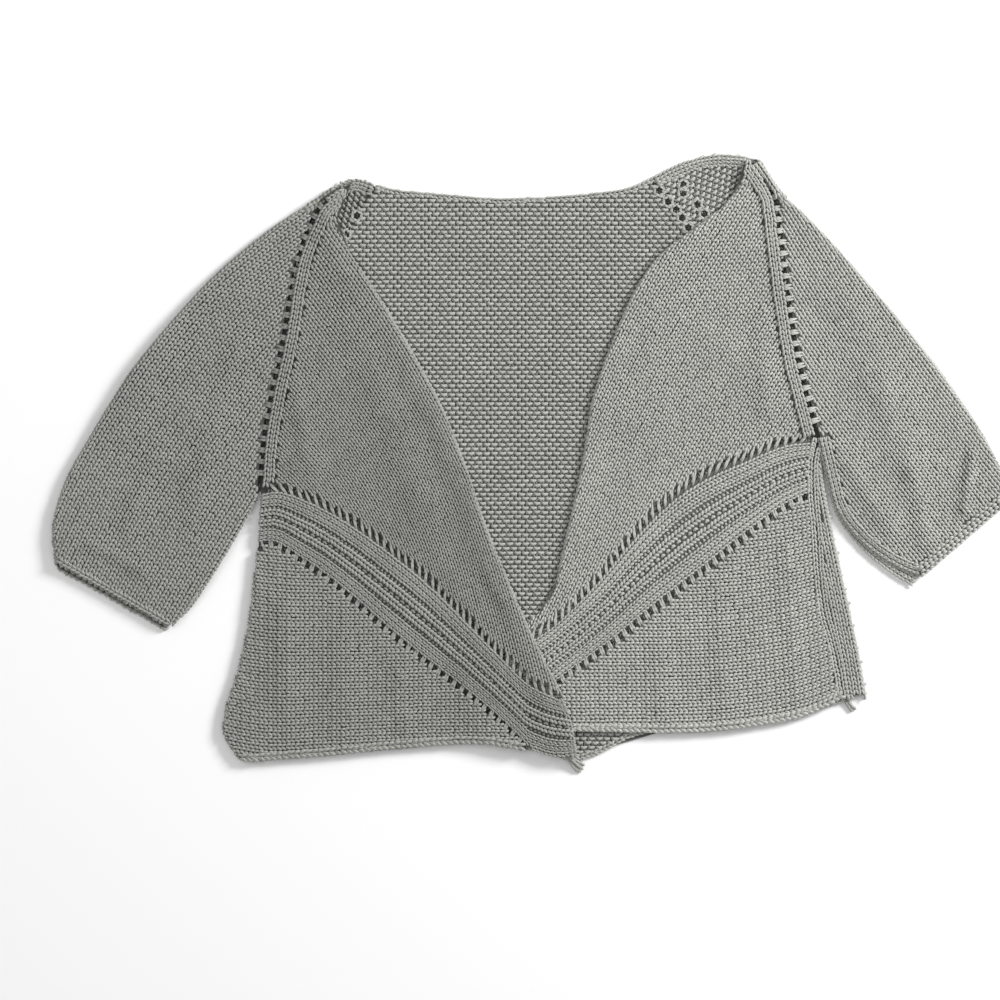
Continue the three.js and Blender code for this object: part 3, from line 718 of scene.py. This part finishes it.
def knit(name, cloth, material):
    """Turns the stitches of one piece into a plain mesh."""
    obj = cloth.points(name)
    modifier = obj.modifiers.new("knitting", "NODES")
    modifier.node_group = knitting
    values = {"Stitch Kinds": stitch_kinds, "Yarn": material, "Fullness": FULLNESS}
    for item in knitting.interface.items_tree:
        if item.in_out == "INPUT" and item.name in values:
            modifier[item.identifier] = values[item.name]
    bpy.context.view_layer.update()
    graph = bpy.context.evaluated_depsgraph_get()
    mesh = bpy.data.meshes.new_from_object(
        obj.evaluated_get(graph), preserve_all_data_layers=True, depsgraph=graph
    )
    obj.modifiers.clear()
    obj.data = mesh
    mesh.materials.clear()
    mesh.materials.append(material)
    for spare in ("turn", "size", "kind"):
        if spare in mesh.attributes:
            mesh.attributes.remove(mesh.attributes[spare])
    unwrap_flat(mesh)
    return obj


UV_MARGIN = 0.01


def unwrap_flat(mesh):
    """Lays the upper faces in one half of the unit square and the under faces in the other."""
    layer = mesh.uv_layers.new(name="OFBake")
    corners = read(mesh.loops, "vertex_index", kind=int)
    places = read(mesh.vertices, "co", 3)[:, :2]
    down = np.repeat(read(mesh.polygons, "normal", 3)[:, 2] < 0, read(mesh.polygons, "loop_total", kind=int))
    low, high = places.min(0), places.max(0)
    uv = ((places - low) / (high - low).max())[corners] * (1 - 2 * UV_MARGIN) + UV_MARGIN
    uv[:, 0] = uv[:, 0] * 0.5 + down * 0.5
    layer.data.foreach_set("uv", uv.ravel())


# ---- shader maths -------------------------------------------------------------------------------------
class Shader:
    """Makes the nodes of one material."""

    def __init__(self, name):
        self.material = bpy.data.materials.new(name)
        self.material.use_nodes = True
        self.tree = self.material.node_tree
        self.tree.nodes.clear()

    def value(self, kind, output=0, settings=None, **values):
        return Value(self, add_node(self.tree, kind, settings, **values).outputs[output])

    def scaled(self, colour, by):
        return self.value("ShaderNodeVectorMath", settings={"operation": "SCALE"}, i0=colour, Scale=by)

    def surface(self, **values):
        """Ends the material in a surface with these values."""
        add_node(self.tree, "ShaderNodeOutputMaterial", i0=self.value("ShaderNodeBsdfPrincipled", **values))
        return self.material


class Value:
    """A socket that can be added, multiplied and so on."""

    def __init__(self, shader, socket):
        self.shader, self.socket = shader, socket

    def maths(self, operation, a, b=0.0):
        return self.shader.value("ShaderNodeMath", settings={"operation": operation}, i0=a, i1=b)

    def __add__(self, other):
        return self.maths("ADD", self, other)

    def __radd__(self, other):
        return self.maths("ADD", other, self)

    def __sub__(self, other):
        return self.maths("SUBTRACT", self, other)

    def __rsub__(self, other):
        return self.maths("SUBTRACT", other, self)

    def __mul__(self, other):
        return self.maths("MULTIPLY", self, other)

    def __rmul__(self, other):
        return self.maths("MULTIPLY", other, self)

    def at_least(self, lowest):
        return self.maths("MAXIMUM", self, lowest)

    def sine(self):
        return self.maths("SINE", self)


def yarn_material(name, colour):
    """Soft matt yarn: a two-ply twist, loose fibres, small differences from stitch to stitch, and painted
    shadow from the shade attribute.
    """
    s = Shader(name)
    place = s.value("ShaderNodeTexCoord", "Object")
    ply = s.value("ShaderNodeUVMap", settings={"uv_map": "ply"})
    u, v = [s.value("ShaderNodeSeparateXYZ", axis, i0=ply) for axis in ("X", "Y")]
    twist = ((u * 2 + v * 3) * (2 * math.pi)).sine() * 0.5 + 0.5
    fibre = s.value("ShaderNodeTexNoise", "Fac", Vector=place, Scale=1400.0, Detail=3.0, Roughness=0.65)
    cloud = s.value("ShaderNodeTexNoise", "Fac", Vector=place, Scale=28.0, Detail=3.0)
    shade = s.value("ShaderNodeAttribute", "Fac", settings={"attribute_name": "shade"})
    # The shade attribute adds random tone and takes off painted shadow, down to a floor of 0.02
    tone = 0.86 + (fibre - 0.5) * 0.5 + (cloud - 0.5) * 0.22 + shade * 0.035 + twist * 0.12
    bump = s.value("ShaderNodeBump", Height=fibre * 0.6 + twist * 0.5, Distance=0.00035, Strength=0.8)
    return s.surface(Base_Color=s.scaled(colour, tone.at_least(0.02)), Roughness=0.95, Normal=bump,
                     Sheen_Weight=0.35, Sheen_Roughness=0.5, Specular_IOR_Level=0.15)


def ground_material(name, colour):
    """The cloth behind the stitches: the same yarn, packed, and darker for lying in their shade."""
    s = Shader(name)
    place = s.value("ShaderNodeTexCoord", "Object")
    weave = s.value("ShaderNodeTexNoise", "Fac", Vector=place, Scale=700.0, Detail=4.0)
    bump = s.value("ShaderNodeBump", Height=weave, Distance=0.0006, Strength=1.0)
    return s.surface(Base_Color=s.scaled(colour, 0.12 + weave * 0.22), Roughness=1.0, Normal=bump,
                     Specular_IOR_Level=0.1)


# One grey yarn in three copies: yarn_left is painted lighter and yarn_right darker, as painted light and
# shade for the lamp off the wearer's left, and yarn_back lies between. The ground cloths and the yarn ends
# take the same copies.
colours = {
    "yarn_right": (0.37, 0.37, 0.345),
    "yarn_left": (0.49, 0.49, 0.458),
    "yarn_back": (0.46, 0.46, 0.43),
}
yarns = {slot: yarn_material(slot, colour) for slot, colour in colours.items()}
grounds = {slot: ground_material(slot.replace("yarn", "ground"), colour) for slot, colour in colours.items()}
slots = {  # which copy of the one yarn each piece is knitted in, lighter or darker as painted light and shade, in the order of their knitting
    "back": "yarn_back", "sleeve_right": "yarn_right", "front_right_upper": "yarn_right",
    "front_right_band": "yarn_right", "front_right_lower": "yarn_right", "sleeve_left": "yarn_left",
    "front_left_upper": "yarn_left", "front_left_band": "yarn_left", "front_left_lower": "yarn_left",
}

# ---- the ground cloth of each piece -------------------------------------------------------------------
# Columns: seam, how much further the ground cloth is drawn back from it, and whether on the upper layer.
EYELET_SEAMS = {
    "back": [("right_back_raglan", -1.1, 0), ("left_back_raglan", -1.1, 0), ("left_seam", -1.0, 1)],
    "sleeve_right": [("right_raglan", 0.9, 1), ("right_back_raglan", -1.1, 0), ("right_cuff", 4.5, 1)],
    "sleeve_left": [("left_raglan", 0.9, 1), ("left_back_raglan", -1.1, 0)],
    "front_right_upper": [("right_raglan", 0.9, 1), ("right_band_top", 1.0, 1)],
    "front_right_band": [("right_band_top", 1.0, 1), ("right_band_foot", 0.9, 1)],
    "front_right_lower": [("right_band_foot", 0.9, 1)],
    "front_left_upper": [("left_raglan", 0.9, 1), ("left_band_top", 1.0, 1)],
    "front_left_band": [("left_band_top", 1.0, 1), ("left_band_foot", 0.9, 1), ("left_seam_upper", -1.0, 1)],
    "front_left_lower": [("left_band_foot", 0.9, 1), ("left_seam_lower", -1.0, 1)],
}
MERGE = 1e-6
SLIVER = 2e-8  # square metres, below which a face says nothing about a corner
SAME_WAY = 0.97  # cosine between faces that count as one
LONGEST_MOVE = 2.2  # of a corner, in insets
SEAM_REACH = 2.6  # how near to a seam the ground cloth is drawn back
BETWEEN_LAYERS = 3.2


def inset_of(vertex, skin):
    """The move that takes each face round a corner in by the same depth, or the deepest that stays inside."""
    ways = []
    for face in vertex.link_faces:
        if face.calc_area() > SLIVER and all(face.normal.dot(w) < SAME_WAY for w in ways):
            ways.append(face.normal.copy())
    if not ways:
        return Vector((0, 0, 0))
    move = Vector(np.linalg.lstsq(np.array(ways), np.full(len(ways), -SHELL_INSET * MM), rcond=None)[0])
    move *= min(1.0, LONGEST_MOVE * SHELL_INSET * MM / max(move.length, 1e-9))
    inwards = -vertex.normal * SHELL_INSET * MM
    best, deepest = inwards / 2, -1.0
    for choice in (move, inwards, move / 2, inwards / 2):
        place = vertex.co + choice
        near, normal, _, _ = skin.find_nearest(place)
        depth = (near - place).dot(normal)
        if depth > 0.5 * SHELL_INSET * MM:
            return choice
        if depth > deepest:
            best, deepest = choice, depth
    return best


def ground(node):
    """A thinner wall inside the solid cloth, drawn back from the seams that have holes along them."""
    bm = bmesh.new()
    bm.from_mesh(frame["nodes"][node].data)
    bmesh.ops.remove_doubles(bm, verts=bm.verts, dist=MERGE)
    bm.normal_update()
    skin = BVHTree.FromBMesh(bm)
    moves = [inset_of(v, skin) for v in bm.verts]
    for vertex, move in zip(bm.verts, moves):
        vertex.co += move
    for seam, more, upper in EYELET_SEAMS[node]:
        rim = [v for v in bm.verts if (v.co.z > BETWEEN_LAYERS * MM) == bool(upper)]
        away, foot, _ = nearest(np.array([v.co[:2] for v in rim]) / MM, paths[seam])
        for vertex, far, near in zip(rim, away, foot):
            if far < SEAM_REACH:
                side = Vector((*(np.array(vertex.co[:2]) / MM - near), 0)).normalized()
                vertex.co += side * (more * MM)
    mesh = bpy.data.meshes.new(node + "_ground")
    bm.to_mesh(mesh)
    bm.free()
    mesh.materials.append(grounds[slots[node]])
    return show(mesh.name, mesh)


# ---- knitting each piece ------------------------------------------------------------------------------
tops = {node: Heights(node) for node in slots if node != "back"}
cloths = {node: Cloth() for node in slots}


WELL_UNDER = 20


def covered_by_fronts(points):
    """What of the lowest layer is out of sight, well under a front."""
    hidden = inside(points, rings["right_front"]) | inside(points, rings["left_front"])
    rims = ("right_neck", "left_neck", "right_hem", "right_band_end", "left_hem")
    return hidden & np.all([nearest(points, paths[rim])[0] > WELL_UNDER for rim in rims], axis=0)


def near_path(name, reach):
    """Which places are within reach of a path."""
    return lambda points: nearest(points, paths[name])[0] < reach


def lay_row(node, name, offset, spacing, width, lift, ring=None, top=None, **words):
    """Lays a row of knit stitches on a piece, along a path and offset to its left."""
    stitches = row(paths[name], offset, spacing, width)
    cloths[node].lay(stitches, KNIT, top or tops[node], rings.get(ring), lift=lift, **words)


# Holes in the back raglans that show in the neck opening, x, y
EYELET_RING = 3.6  # middle of the yarn round a hole
back_eyelets = np.array([
    [110.4, 210.4], [116.8, 204], [121.6, 197.6], [133.6, 208], [139.2, 200.8], [122.4, 224], [122.4, 217.2],
    [103.2, 219.2], [126.4, 189.6], [-138.4, 199.2], [-147.2, 184], [-150.4, 179.5],
])


def clear_of_eyelets(points):
    """Which places are outside the rings of yarn."""
    return np.linalg.norm(points[:, None] - back_eyelets, axis=2).min(1) > EYELET_RING + 0.6


# Sleeves. The right one's upper cuff edge lies back from the lower one, and the left one's cuff is bumps.
CUFF_SETBACK = {"right": 6.0, "left": 10.6}
CAP_LOW = 130  # least y of the cloth that shows inside a cap
for side, way in (("right", 1), ("left", -1)):
    node = "sleeve_" + side
    spare = (14, 10)
    edges = [
        cut(side + "_raglan", 2.4),
        turned("right_underarm", EDGE_TURN, 100) if side == "right" else cut("left_underarm", 8.0, True),
        cut(side + "_cuff", CUFF_SETBACK[side]), turned(side + "_fold", FOLD_TURN, 170),
        cut(side + "_cap", 1.5),
    ]
    cloths[node].lay(chart(wales[node], WALE, COURSE, spare), KNIT, tops[node], rings[node], edges)
    under_edges = [cut(side + "_back_raglan", 2.0), cut(side + "_underarm", 2.5), cut(side + "_cuff", 1.5),
                   cut(side + "_fold", 2.8)]
    cloths[node].lay(chart(wales[node], WALE, COURSE, spare), PLAIN, level(UNDER_Z), rings[node + "_under"],
                     under_edges, under=True)
    cap_inside = chart(wales[node], DASH, COURSE, (12, 18), brick=True)
    cloths[node].lay(cap_inside, PURL, level(LAYER_TOP), rings[side + "_sleeve_inside"], lift=0.45,
                     keep=lambda places: (places[:, 1] > CAP_LOW) & clear_of_eyelets(places))
    for offset, lift in ((2.4, 0.6), (0.3, 1.2)):
        lay_row(node, side + "_fold", way * offset, 3.6, 4.4, lift, edges=[turned(side + "_fold", 2.8, 100)],
                keep=near_path(side + "_raglan", 8))
    for offset, lift in ((1.6, 1.3), (4.4, 1.9), (7.2, 1.1)):
        lay_row(node, side + "_cap_edge", way * offset, 3.6, 4.4, lift, top=level(LAYER_TOP), full=1.15)

# Ropes along the left underarm, and the lower layer's edge that shows below it near the cuff
for offset in (-2.4, 0.5, 3.5, 6.9):
    lay_row("sleeve_left", "left_underarm", offset, 3.7, 4.5, 0.3, "sleeve_left", full=1.1,
            edges=[turned("left_underarm", EDGE_TURN), cut("left_cuff", 5.0)])
for offset in (1.7, 5.4):
    lay_row("sleeve_left", "left_under_edge", offset, 3.8, 4.8, 0.2, top=level(LAYER_TOP))

# The row that closes the left cap's crest
CREST_TOP = 8.3
lay_row("sleeve_left", "left_raglan", 2.3, 3.6, 4.6, 0.7, top=level(CREST_TOP), full=1.1,
        keep=near_path("left_fold", 4.5))

# Upper fronts, with a raised double rope beside each raglan
for side, way in (("right", 1), ("left", -1)):
    node = "front_" + side + "_upper"
    raglan = side + "_raglan"
    edges = [cut(raglan, 11.0), cut(side + "_band_top", 2.8), turned(side + "_neck", NECK_TURN),
             cut(side + "_shoulder", 1.0)]
    stitches = chart(wales[node], FINE_WALE, COURSE, (16, 16))
    cloths[node].lay(stitches, KNIT, tops[node], rings[node], edges, full=1.08)
    for offset in (4.4, 8.8):
        lay_row(node, raglan, way * offset, 3.9, 4.9, 1.3, node, full=1.3,
                edges=[cut(side + "_band_top", 3.2)])
    lay_row(node, raglan, way * 0.7, 3.7, 4.8, 0.9, full=1.15,
            keep=lambda places: np.linalg.norm(places - paths[raglan][0], axis=1) < 15)
    for offset in (2.0, 5.4):
        lay_row(node, side + "_neck", -way * offset, 3.8, 4.8, 0.6, node, full=1.15,
                keep=near_path(raglan, 14))

# Bands: share of the width, kind, width, spacing, height above the cloth, whether turned to lie along the row
BAND_ROWS = [
    [0.125, KNIT, 4.2, 3.5, 0.2, False],
    [0.205, KNIT, 4.2, 3.5, 0.2, False],
    [0.285, KNIT, 4.2, 3.5, 0.2, False],
    [0.36, PURL, 2.6, 3.6, -0.9, True],
    [0.44, KNIT, 5.6, 3.3, 1.1, False],
    [0.53, PURL, 4.6, 5.6, -0.4, True],
    [0.62, KNIT, 5.6, 3.3, 1.1, False],
    [0.70, PURL, 2.6, 3.6, -0.9, True],
    [0.77, KNIT, 3.9, 3.5, 0.2, False],
    [0.845, KNIT, 3.9, 3.5, 0.2, False],
    [0.915, KNIT, 3.6, 3.5, 0.2, False],
]
BAND_WIDTH = 45  # that the widths of the rows are for
band_edges = {
    "right": [cut("right_band_top", 2.6), cut("right_band_foot", 2.0),
              turned("right_side_band", EDGE_TURN, 110), turned("right_point", HEM_TURN, 120),
              turned("right_band_end", HEM_TURN, 120)],
    "left": [cut("left_band_top", 2.6), cut("left_band_foot", 2.0), turned("left_point", HEM_TURN, 120),
             cut("left_seam_upper", 3.0)],
}
band_foot = {
    "right": np.vstack([paths["right_band_foot"], paths["right_band_end"][1:]]),
    "left": paths["left_band_foot"],
}
for side in SIDES:
    node = "front_" + side + "_band"
    top_path = paths[side + "_band_top"]
    for share, kind, width, spacing, lift, lengthwise in BAND_ROWS:
        line = between(top_path, band_foot[side], share, spacing, width)
        here = nearest(line["at"], top_path)[0] + nearest(line["at"], band_foot[side])[0]
        if kind == KNIT:
            line["width"] *= np.clip(here / BAND_WIDTH, 0.7, 1.25)
        if lengthwise:
            line = turned_crosswise(line)
        cloths[node].lay(line, kind, tops[node], rings[node], band_edges[side], lift=lift)

# Lower fronts, knitted sideways
lower_edges = {
    "right": [cut("right_band_foot", 2.6), turned("right_side_lower", EDGE_TURN, 110),
              turned("right_hem", HEM_TURN, 140)],
    "left": [cut("left_band_foot", 2.6), cut("left_seam_lower", 4.6), turned("left_hem", HEM_TURN, 140)],
}
for side in SIDES:
    node = "front_" + side + "_lower"
    stitches = chart(wales[node], WALE, COURSE, (4, 3))
    for parity in (0, 1):
        half = courses_with(stitches, lambda course: course % 2 == parity)
        cloths[node].lay(half, KNIT, tops[node], rings[node], lower_edges[side], lift=0.22 * parity)
    lay_row(node, side + "_hem", 2.8, 4.7, 6.6, 0.7, full=1.1)

# The back: its purl side in the neck opening, and knit stitches on the side that lies on the floor
back = cloths["back"]
purl = chart(wales["back"], DASH, COURSE, brick=True)
back_edges = [cut("back_neck", 2.0), cut("back_hem", 1.5)]
for parity in (0, 1):
    half = courses_with(purl, lambda course: course // 2 % 2 == parity)
    back.lay(half, PURL, level(LAYER_TOP), rings["back"], back_edges, lift=0.3 * parity,
             keep=lambda places: ~covered_by_fronts(places) & clear_of_eyelets(places))
floor_edges = [
    cut("right_side", 3), cut("left_side", 3), cut("right_back_raglan", 2), cut("left_back_raglan", 2),
    cut("back_neck", 1.5), cut("back_hem", 1.5),
]
back_under = Cloth()
plain = chart(wales["back"], WALE, COURSE)
back_under.lay(plain, PLAIN, level(UNDER_Z), rings["back"], floor_edges, under=True)

# A ring of yarn round each hole, and loops down in it painted nearly black as the hole's painted shadow
RING_BARS = 6
PIT_LOOPS = np.array([[0, -1.5], [0, 0.2], [0, 1.9]])
angles = np.linspace(0, 2 * math.pi, RING_BARS, endpoint=False)
out = np.column_stack([np.cos(angles), np.sin(angles)])
for middle in back_eyelets:
    bars = {"at": middle + EYELET_RING * out, "along": crosswise(out), "width": np.full(RING_BARS, 0.85),
            "length": np.full(RING_BARS, 3.9)}
    back.lay(bars, BAR, level(LAYER_TOP), lift=0.5, loose=0.1)
    pit = {"at": middle + PIT_LOOPS, "along": np.tile([0.0, 1.0], (3, 1)), "width": np.full(3, 5.0),
           "length": np.full(3, COURSE)}
    back.lay(pit, PURL, level(LAYER_TOP), lift=-1.1, loose=0, full=1.1, shadow=25)
for name, offset in (("back_neck", -1.8), ("back_hem", 1.8)):
    lay_row("back", name, offset, 3.9, 4.6, 0.5, top=level(LAYER_TOP))

# The strip of the back that wraps to the front on the wearer's left
strip_lines = (paths["left_side"] + [2.0, 0], paths["left_side"] - [22.0, 0])
back.lay(chart(strip_lines, 5.0, COURSE, (3, 0)), KNIT, level(STRIP_TOP), rings["strip"],
         [cut("left_seam", 3.9), turned("left_side", EDGE_TURN, 175), cut("strip_hem", 1.0)])
lay_row("back", "left_seam", 2.4, COURSE, 4.4, 0.2, "strip", level(STRIP_TOP))

# Rows that close the fronts at their ends: piece, edge, offset, width, height above the cloth, and the
# outline that they keep to
for node, edge, offset, width, lift, ring in (
    ("front_left_band", "left_seam_upper", -2.4, 4.4, 0.3, None),
    ("front_right_band", "right_point", -2.2, 4.4, 0.3, None),
    ("front_right_band", "right_band_end", 2.2, 4.4, 0.3, None),
    ("front_left_lower", "left_seam_lower", -2.5, 4.6, 0.2, "front_left_lower"),
):
    lay_row(node, edge, offset, COURSE, width, lift, ring)


# ---- strands across the eyelets -----------------------------------------------------------------------
# Columns: seam, piece that carries them, spacing, length, lean from square, gap between the two of a pair,
# width, and how far they keep from the seam's first and last ends
EYELETS = [
    ["right_raglan", "front_right_upper", 9.2, 5.8, 0, 2.2, 0.9, 14, 7],
    ["left_raglan", "front_left_upper", 9.2, 5.8, 0, 2.2, 0.9, 14, 7],
    ["right_band_top", "front_right_band", 7.2, 8.4, 42, 0.0, 1.0, 4, 6],
    ["left_band_top", "front_left_band", 7.2, 8.4, -42, 0.0, 1.0, 4, 6],
    ["right_band_foot", "front_right_band", 7.6, 5.6, 12, 1.7, 0.8, 4, 6],
    ["left_band_foot", "front_left_band", 7.6, 5.6, -12, 1.7, 0.8, 4, 6],
]


def clear_of_ends(name, from_first, from_last):
    """Which places keep their distance from a path's two ends."""
    ends = ((paths[name][0], from_first), (paths[name][-1], from_last))
    return lambda points: np.all([np.linalg.norm(points - end, axis=1) > gap for end, gap in ends], axis=0)


for seam, node, spacing, length, lean, pair, width, from_first, from_last in EYELETS:
    for sign in (-0.5, 0.5) if pair else (0,):
        strands = row(paths[seam], 0, spacing, width, lean=math.radians(90 + lean),
                      shift=sign * pair / spacing, length=length)
        cloths[node].lay(strands, BAR, tops[node], lift=-0.2, loose=0.1,
                         keep=clear_of_ends(seam, from_first, from_last))

# Cuffs: the right one bound off, with the lower layer's inside showing under it, the left one a bumpy band
lay_row("sleeve_right", "right_cuff", -7.4, 3.9, 5.2, 0.8, "sleeve_right")
for offset in (1.4, 4.2):
    mouth = turned_crosswise(row(paths["right_cuff"], -offset, 5.2, 5.2))
    cloths["sleeve_right"].lay(mouth, PURL, level(LAYER_TOP))
# Columns: offset, height above the cloth, shift along the row as a share of the spacing
for offset, lift, shift in ((1.2, 0.2, 0.0), (3.8, 1.1, 0.5), (6.4, 1.3, 0.5), (8.8, 0.5, 0.0)):
    bumps = turned_crosswise(row(paths["left_cuff"], offset, 4.6, 4.9, shift=shift))
    cloths["sleeve_left"].lay(bumps, PURL, tops["sleeve_left"], rings["sleeve_left"], lift=lift, full=1.15)


# ---- yarn ends: a few strands each, as x, y, z --------------------------------------------------------
tails = {
    "tail_point": [
        [[27.5, -231.5, 8.2], [33, -239, 4.2], [38.5, -246, 1.2]],
        [[29.6, -231.5, 8.4], [36.5, -238.5, 4.4], [43, -244, 1.2]],
        [[28.4, -232, 7.4], [35, -240, 3.0], [40.8, -246.3, 1.2]],
        [[31, -232.2, 7.6], [37.5, -236.5, 3.6], [44, -240.6, 1.2]],
    ],
    "tail_side": [
        [[251.6, -188, 2.4], [254.6, -193, 1.8], [257.6, -197.6, 1.3]],
        [[253.6, -187.5, 2.6], [257, -192.4, 2.0], [261, -195.8, 1.3]],
    ],
}
TAIL_RADIUS = 1.15
TAIL_LUMPS = 0.14  # share of the radius by which a strand swells and thins

def tail(name, strands):
    """A yarn end as one mesh of a few strands."""
    made = []
    for number, points in enumerate(strands):
        line = smooth_path(points, 14)
        swelling = 1 + TAIL_LUMPS * np.sin(2.4 * np.arange(len(line)) + number)
        rings_of = [[*p, TAIL_RADIUS * more] for p, more in zip(line, swelling)]
        rings_of[0][3] = rings_of[-1][3] = 0.0
        made.append(rings_of)
    obj = show(name + "_yarn", yarn_mesh(name + "_yarn", made, sides=8))
    obj.data.materials.append(yarns["yarn_right"])
    return obj


# ---- the pieces, their bodies and what they stand for -------------------------------------------------
# Columns: width and length of the cut, its area in square metres, what it lies on.
CUTS = {
    "back": (0.50, 0.46, 0.185, ["floor"]),
    "sleeve_right": (0.33, 0.36, 0.074, ["floor"]),
    "sleeve_left": (0.33, 0.36, 0.064, ["floor"]),
    "front_right_upper": (0.25, 0.42, 0.0325, ["back_ground"]),
    "front_right_band": (0.05, 0.33, 0.0135, ["back_ground"]),
    "front_right_lower": (0.22, 0.18, 0.0215, ["back_ground"]),
    "front_left_upper": (0.25, 0.40, 0.033, ["back_ground"]),
    "front_left_band": (0.05, 0.32, 0.0147, ["back_ground"]),
    "front_left_lower": (0.26, 0.19, 0.025, ["back_ground"]),
}

# The floor
FLOOR_HALF = 4.0
floor_mesh = bpy.data.meshes.new("floor")
floor_corners = [(x * FLOOR_HALF, y * FLOOR_HALF, 0) for x, y in ((-1, -1), (1, -1), (1, 1), (-1, 1))]
floor_mesh.from_pydata(floor_corners, [], [(0, 1, 2, 3)])
paper = Shader("white_paper")
paper_place = paper.value("ShaderNodeTexCoord", "Object")
grain = paper.value("ShaderNodeTexNoise", "Fac", Vector=paper_place, Scale=60.0)
floor_mesh.materials.append(paper.surface(Base_Color=(0.95, 0.95, 0.95, 1), Roughness=0.9 + grain * 0.05))
show("floor", floor_mesh)

shown = {node: [knit(node + "_stitches", cloths[node], yarns[slots[node]])] for node in slots}
shown["back"].append(knit("back_under_stitches", back_under, yarns["yarn_back"]))
for stitch in list(stitch_kinds.objects):
    bpy.data.objects.remove(stitch)
bpy.data.collections.remove(stitch_kinds)

for node, (width, length, area, rests) in CUTS.items():
    base = ground(node)
    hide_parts(node)
    for piece in [base, *shown[node]]:
        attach(piece, "root")

for name, points in tails.items():
    end = tail(name, points)
    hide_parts(name)
    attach(end, "root")

# ---- light and camera ---------------------------------------------------------------------------------
scene = bpy.context.scene
world = bpy.data.worlds.new("studio")
world.use_nodes = True
sky = world.node_tree.nodes["Background"].inputs
sky["Color"].default_value = (1.0, 1.0, 1.0, 1)
sky["Strength"].default_value = 0.5
scene.world = world


def soft_light(name, place, size, power):
    """A square lamp that faces the middle of the garment."""
    lamp = bpy.data.lights.new(name, "AREA")
    lamp.shape, lamp.size, lamp.energy = "SQUARE", size, power
    obj = show(name, lamp)
    obj.location = place
    obj.rotation_euler = (-Vector(place)).to_track_quat("-Z", "Y").to_euler()


soft_light("window", (1.9, 1.1, 1.25), 0.7, 72)
soft_light("fill", (-1.2, 0.6, 2.0), 1.6, 10)

CAMERA_HEIGHT = 3.2
FIELD = 0.8  # width of floor in view
SENSOR = 36
lens = bpy.data.cameras.new("camera")
lens.sensor_width = SENSOR
lens.lens = SENSOR * CAMERA_HEIGHT / FIELD
camera = show("camera", lens)
camera.location = (-0.024, -0.028, CAMERA_HEIGHT)
scene.camera = camera
scene.view_settings.view_transform = "Standard"
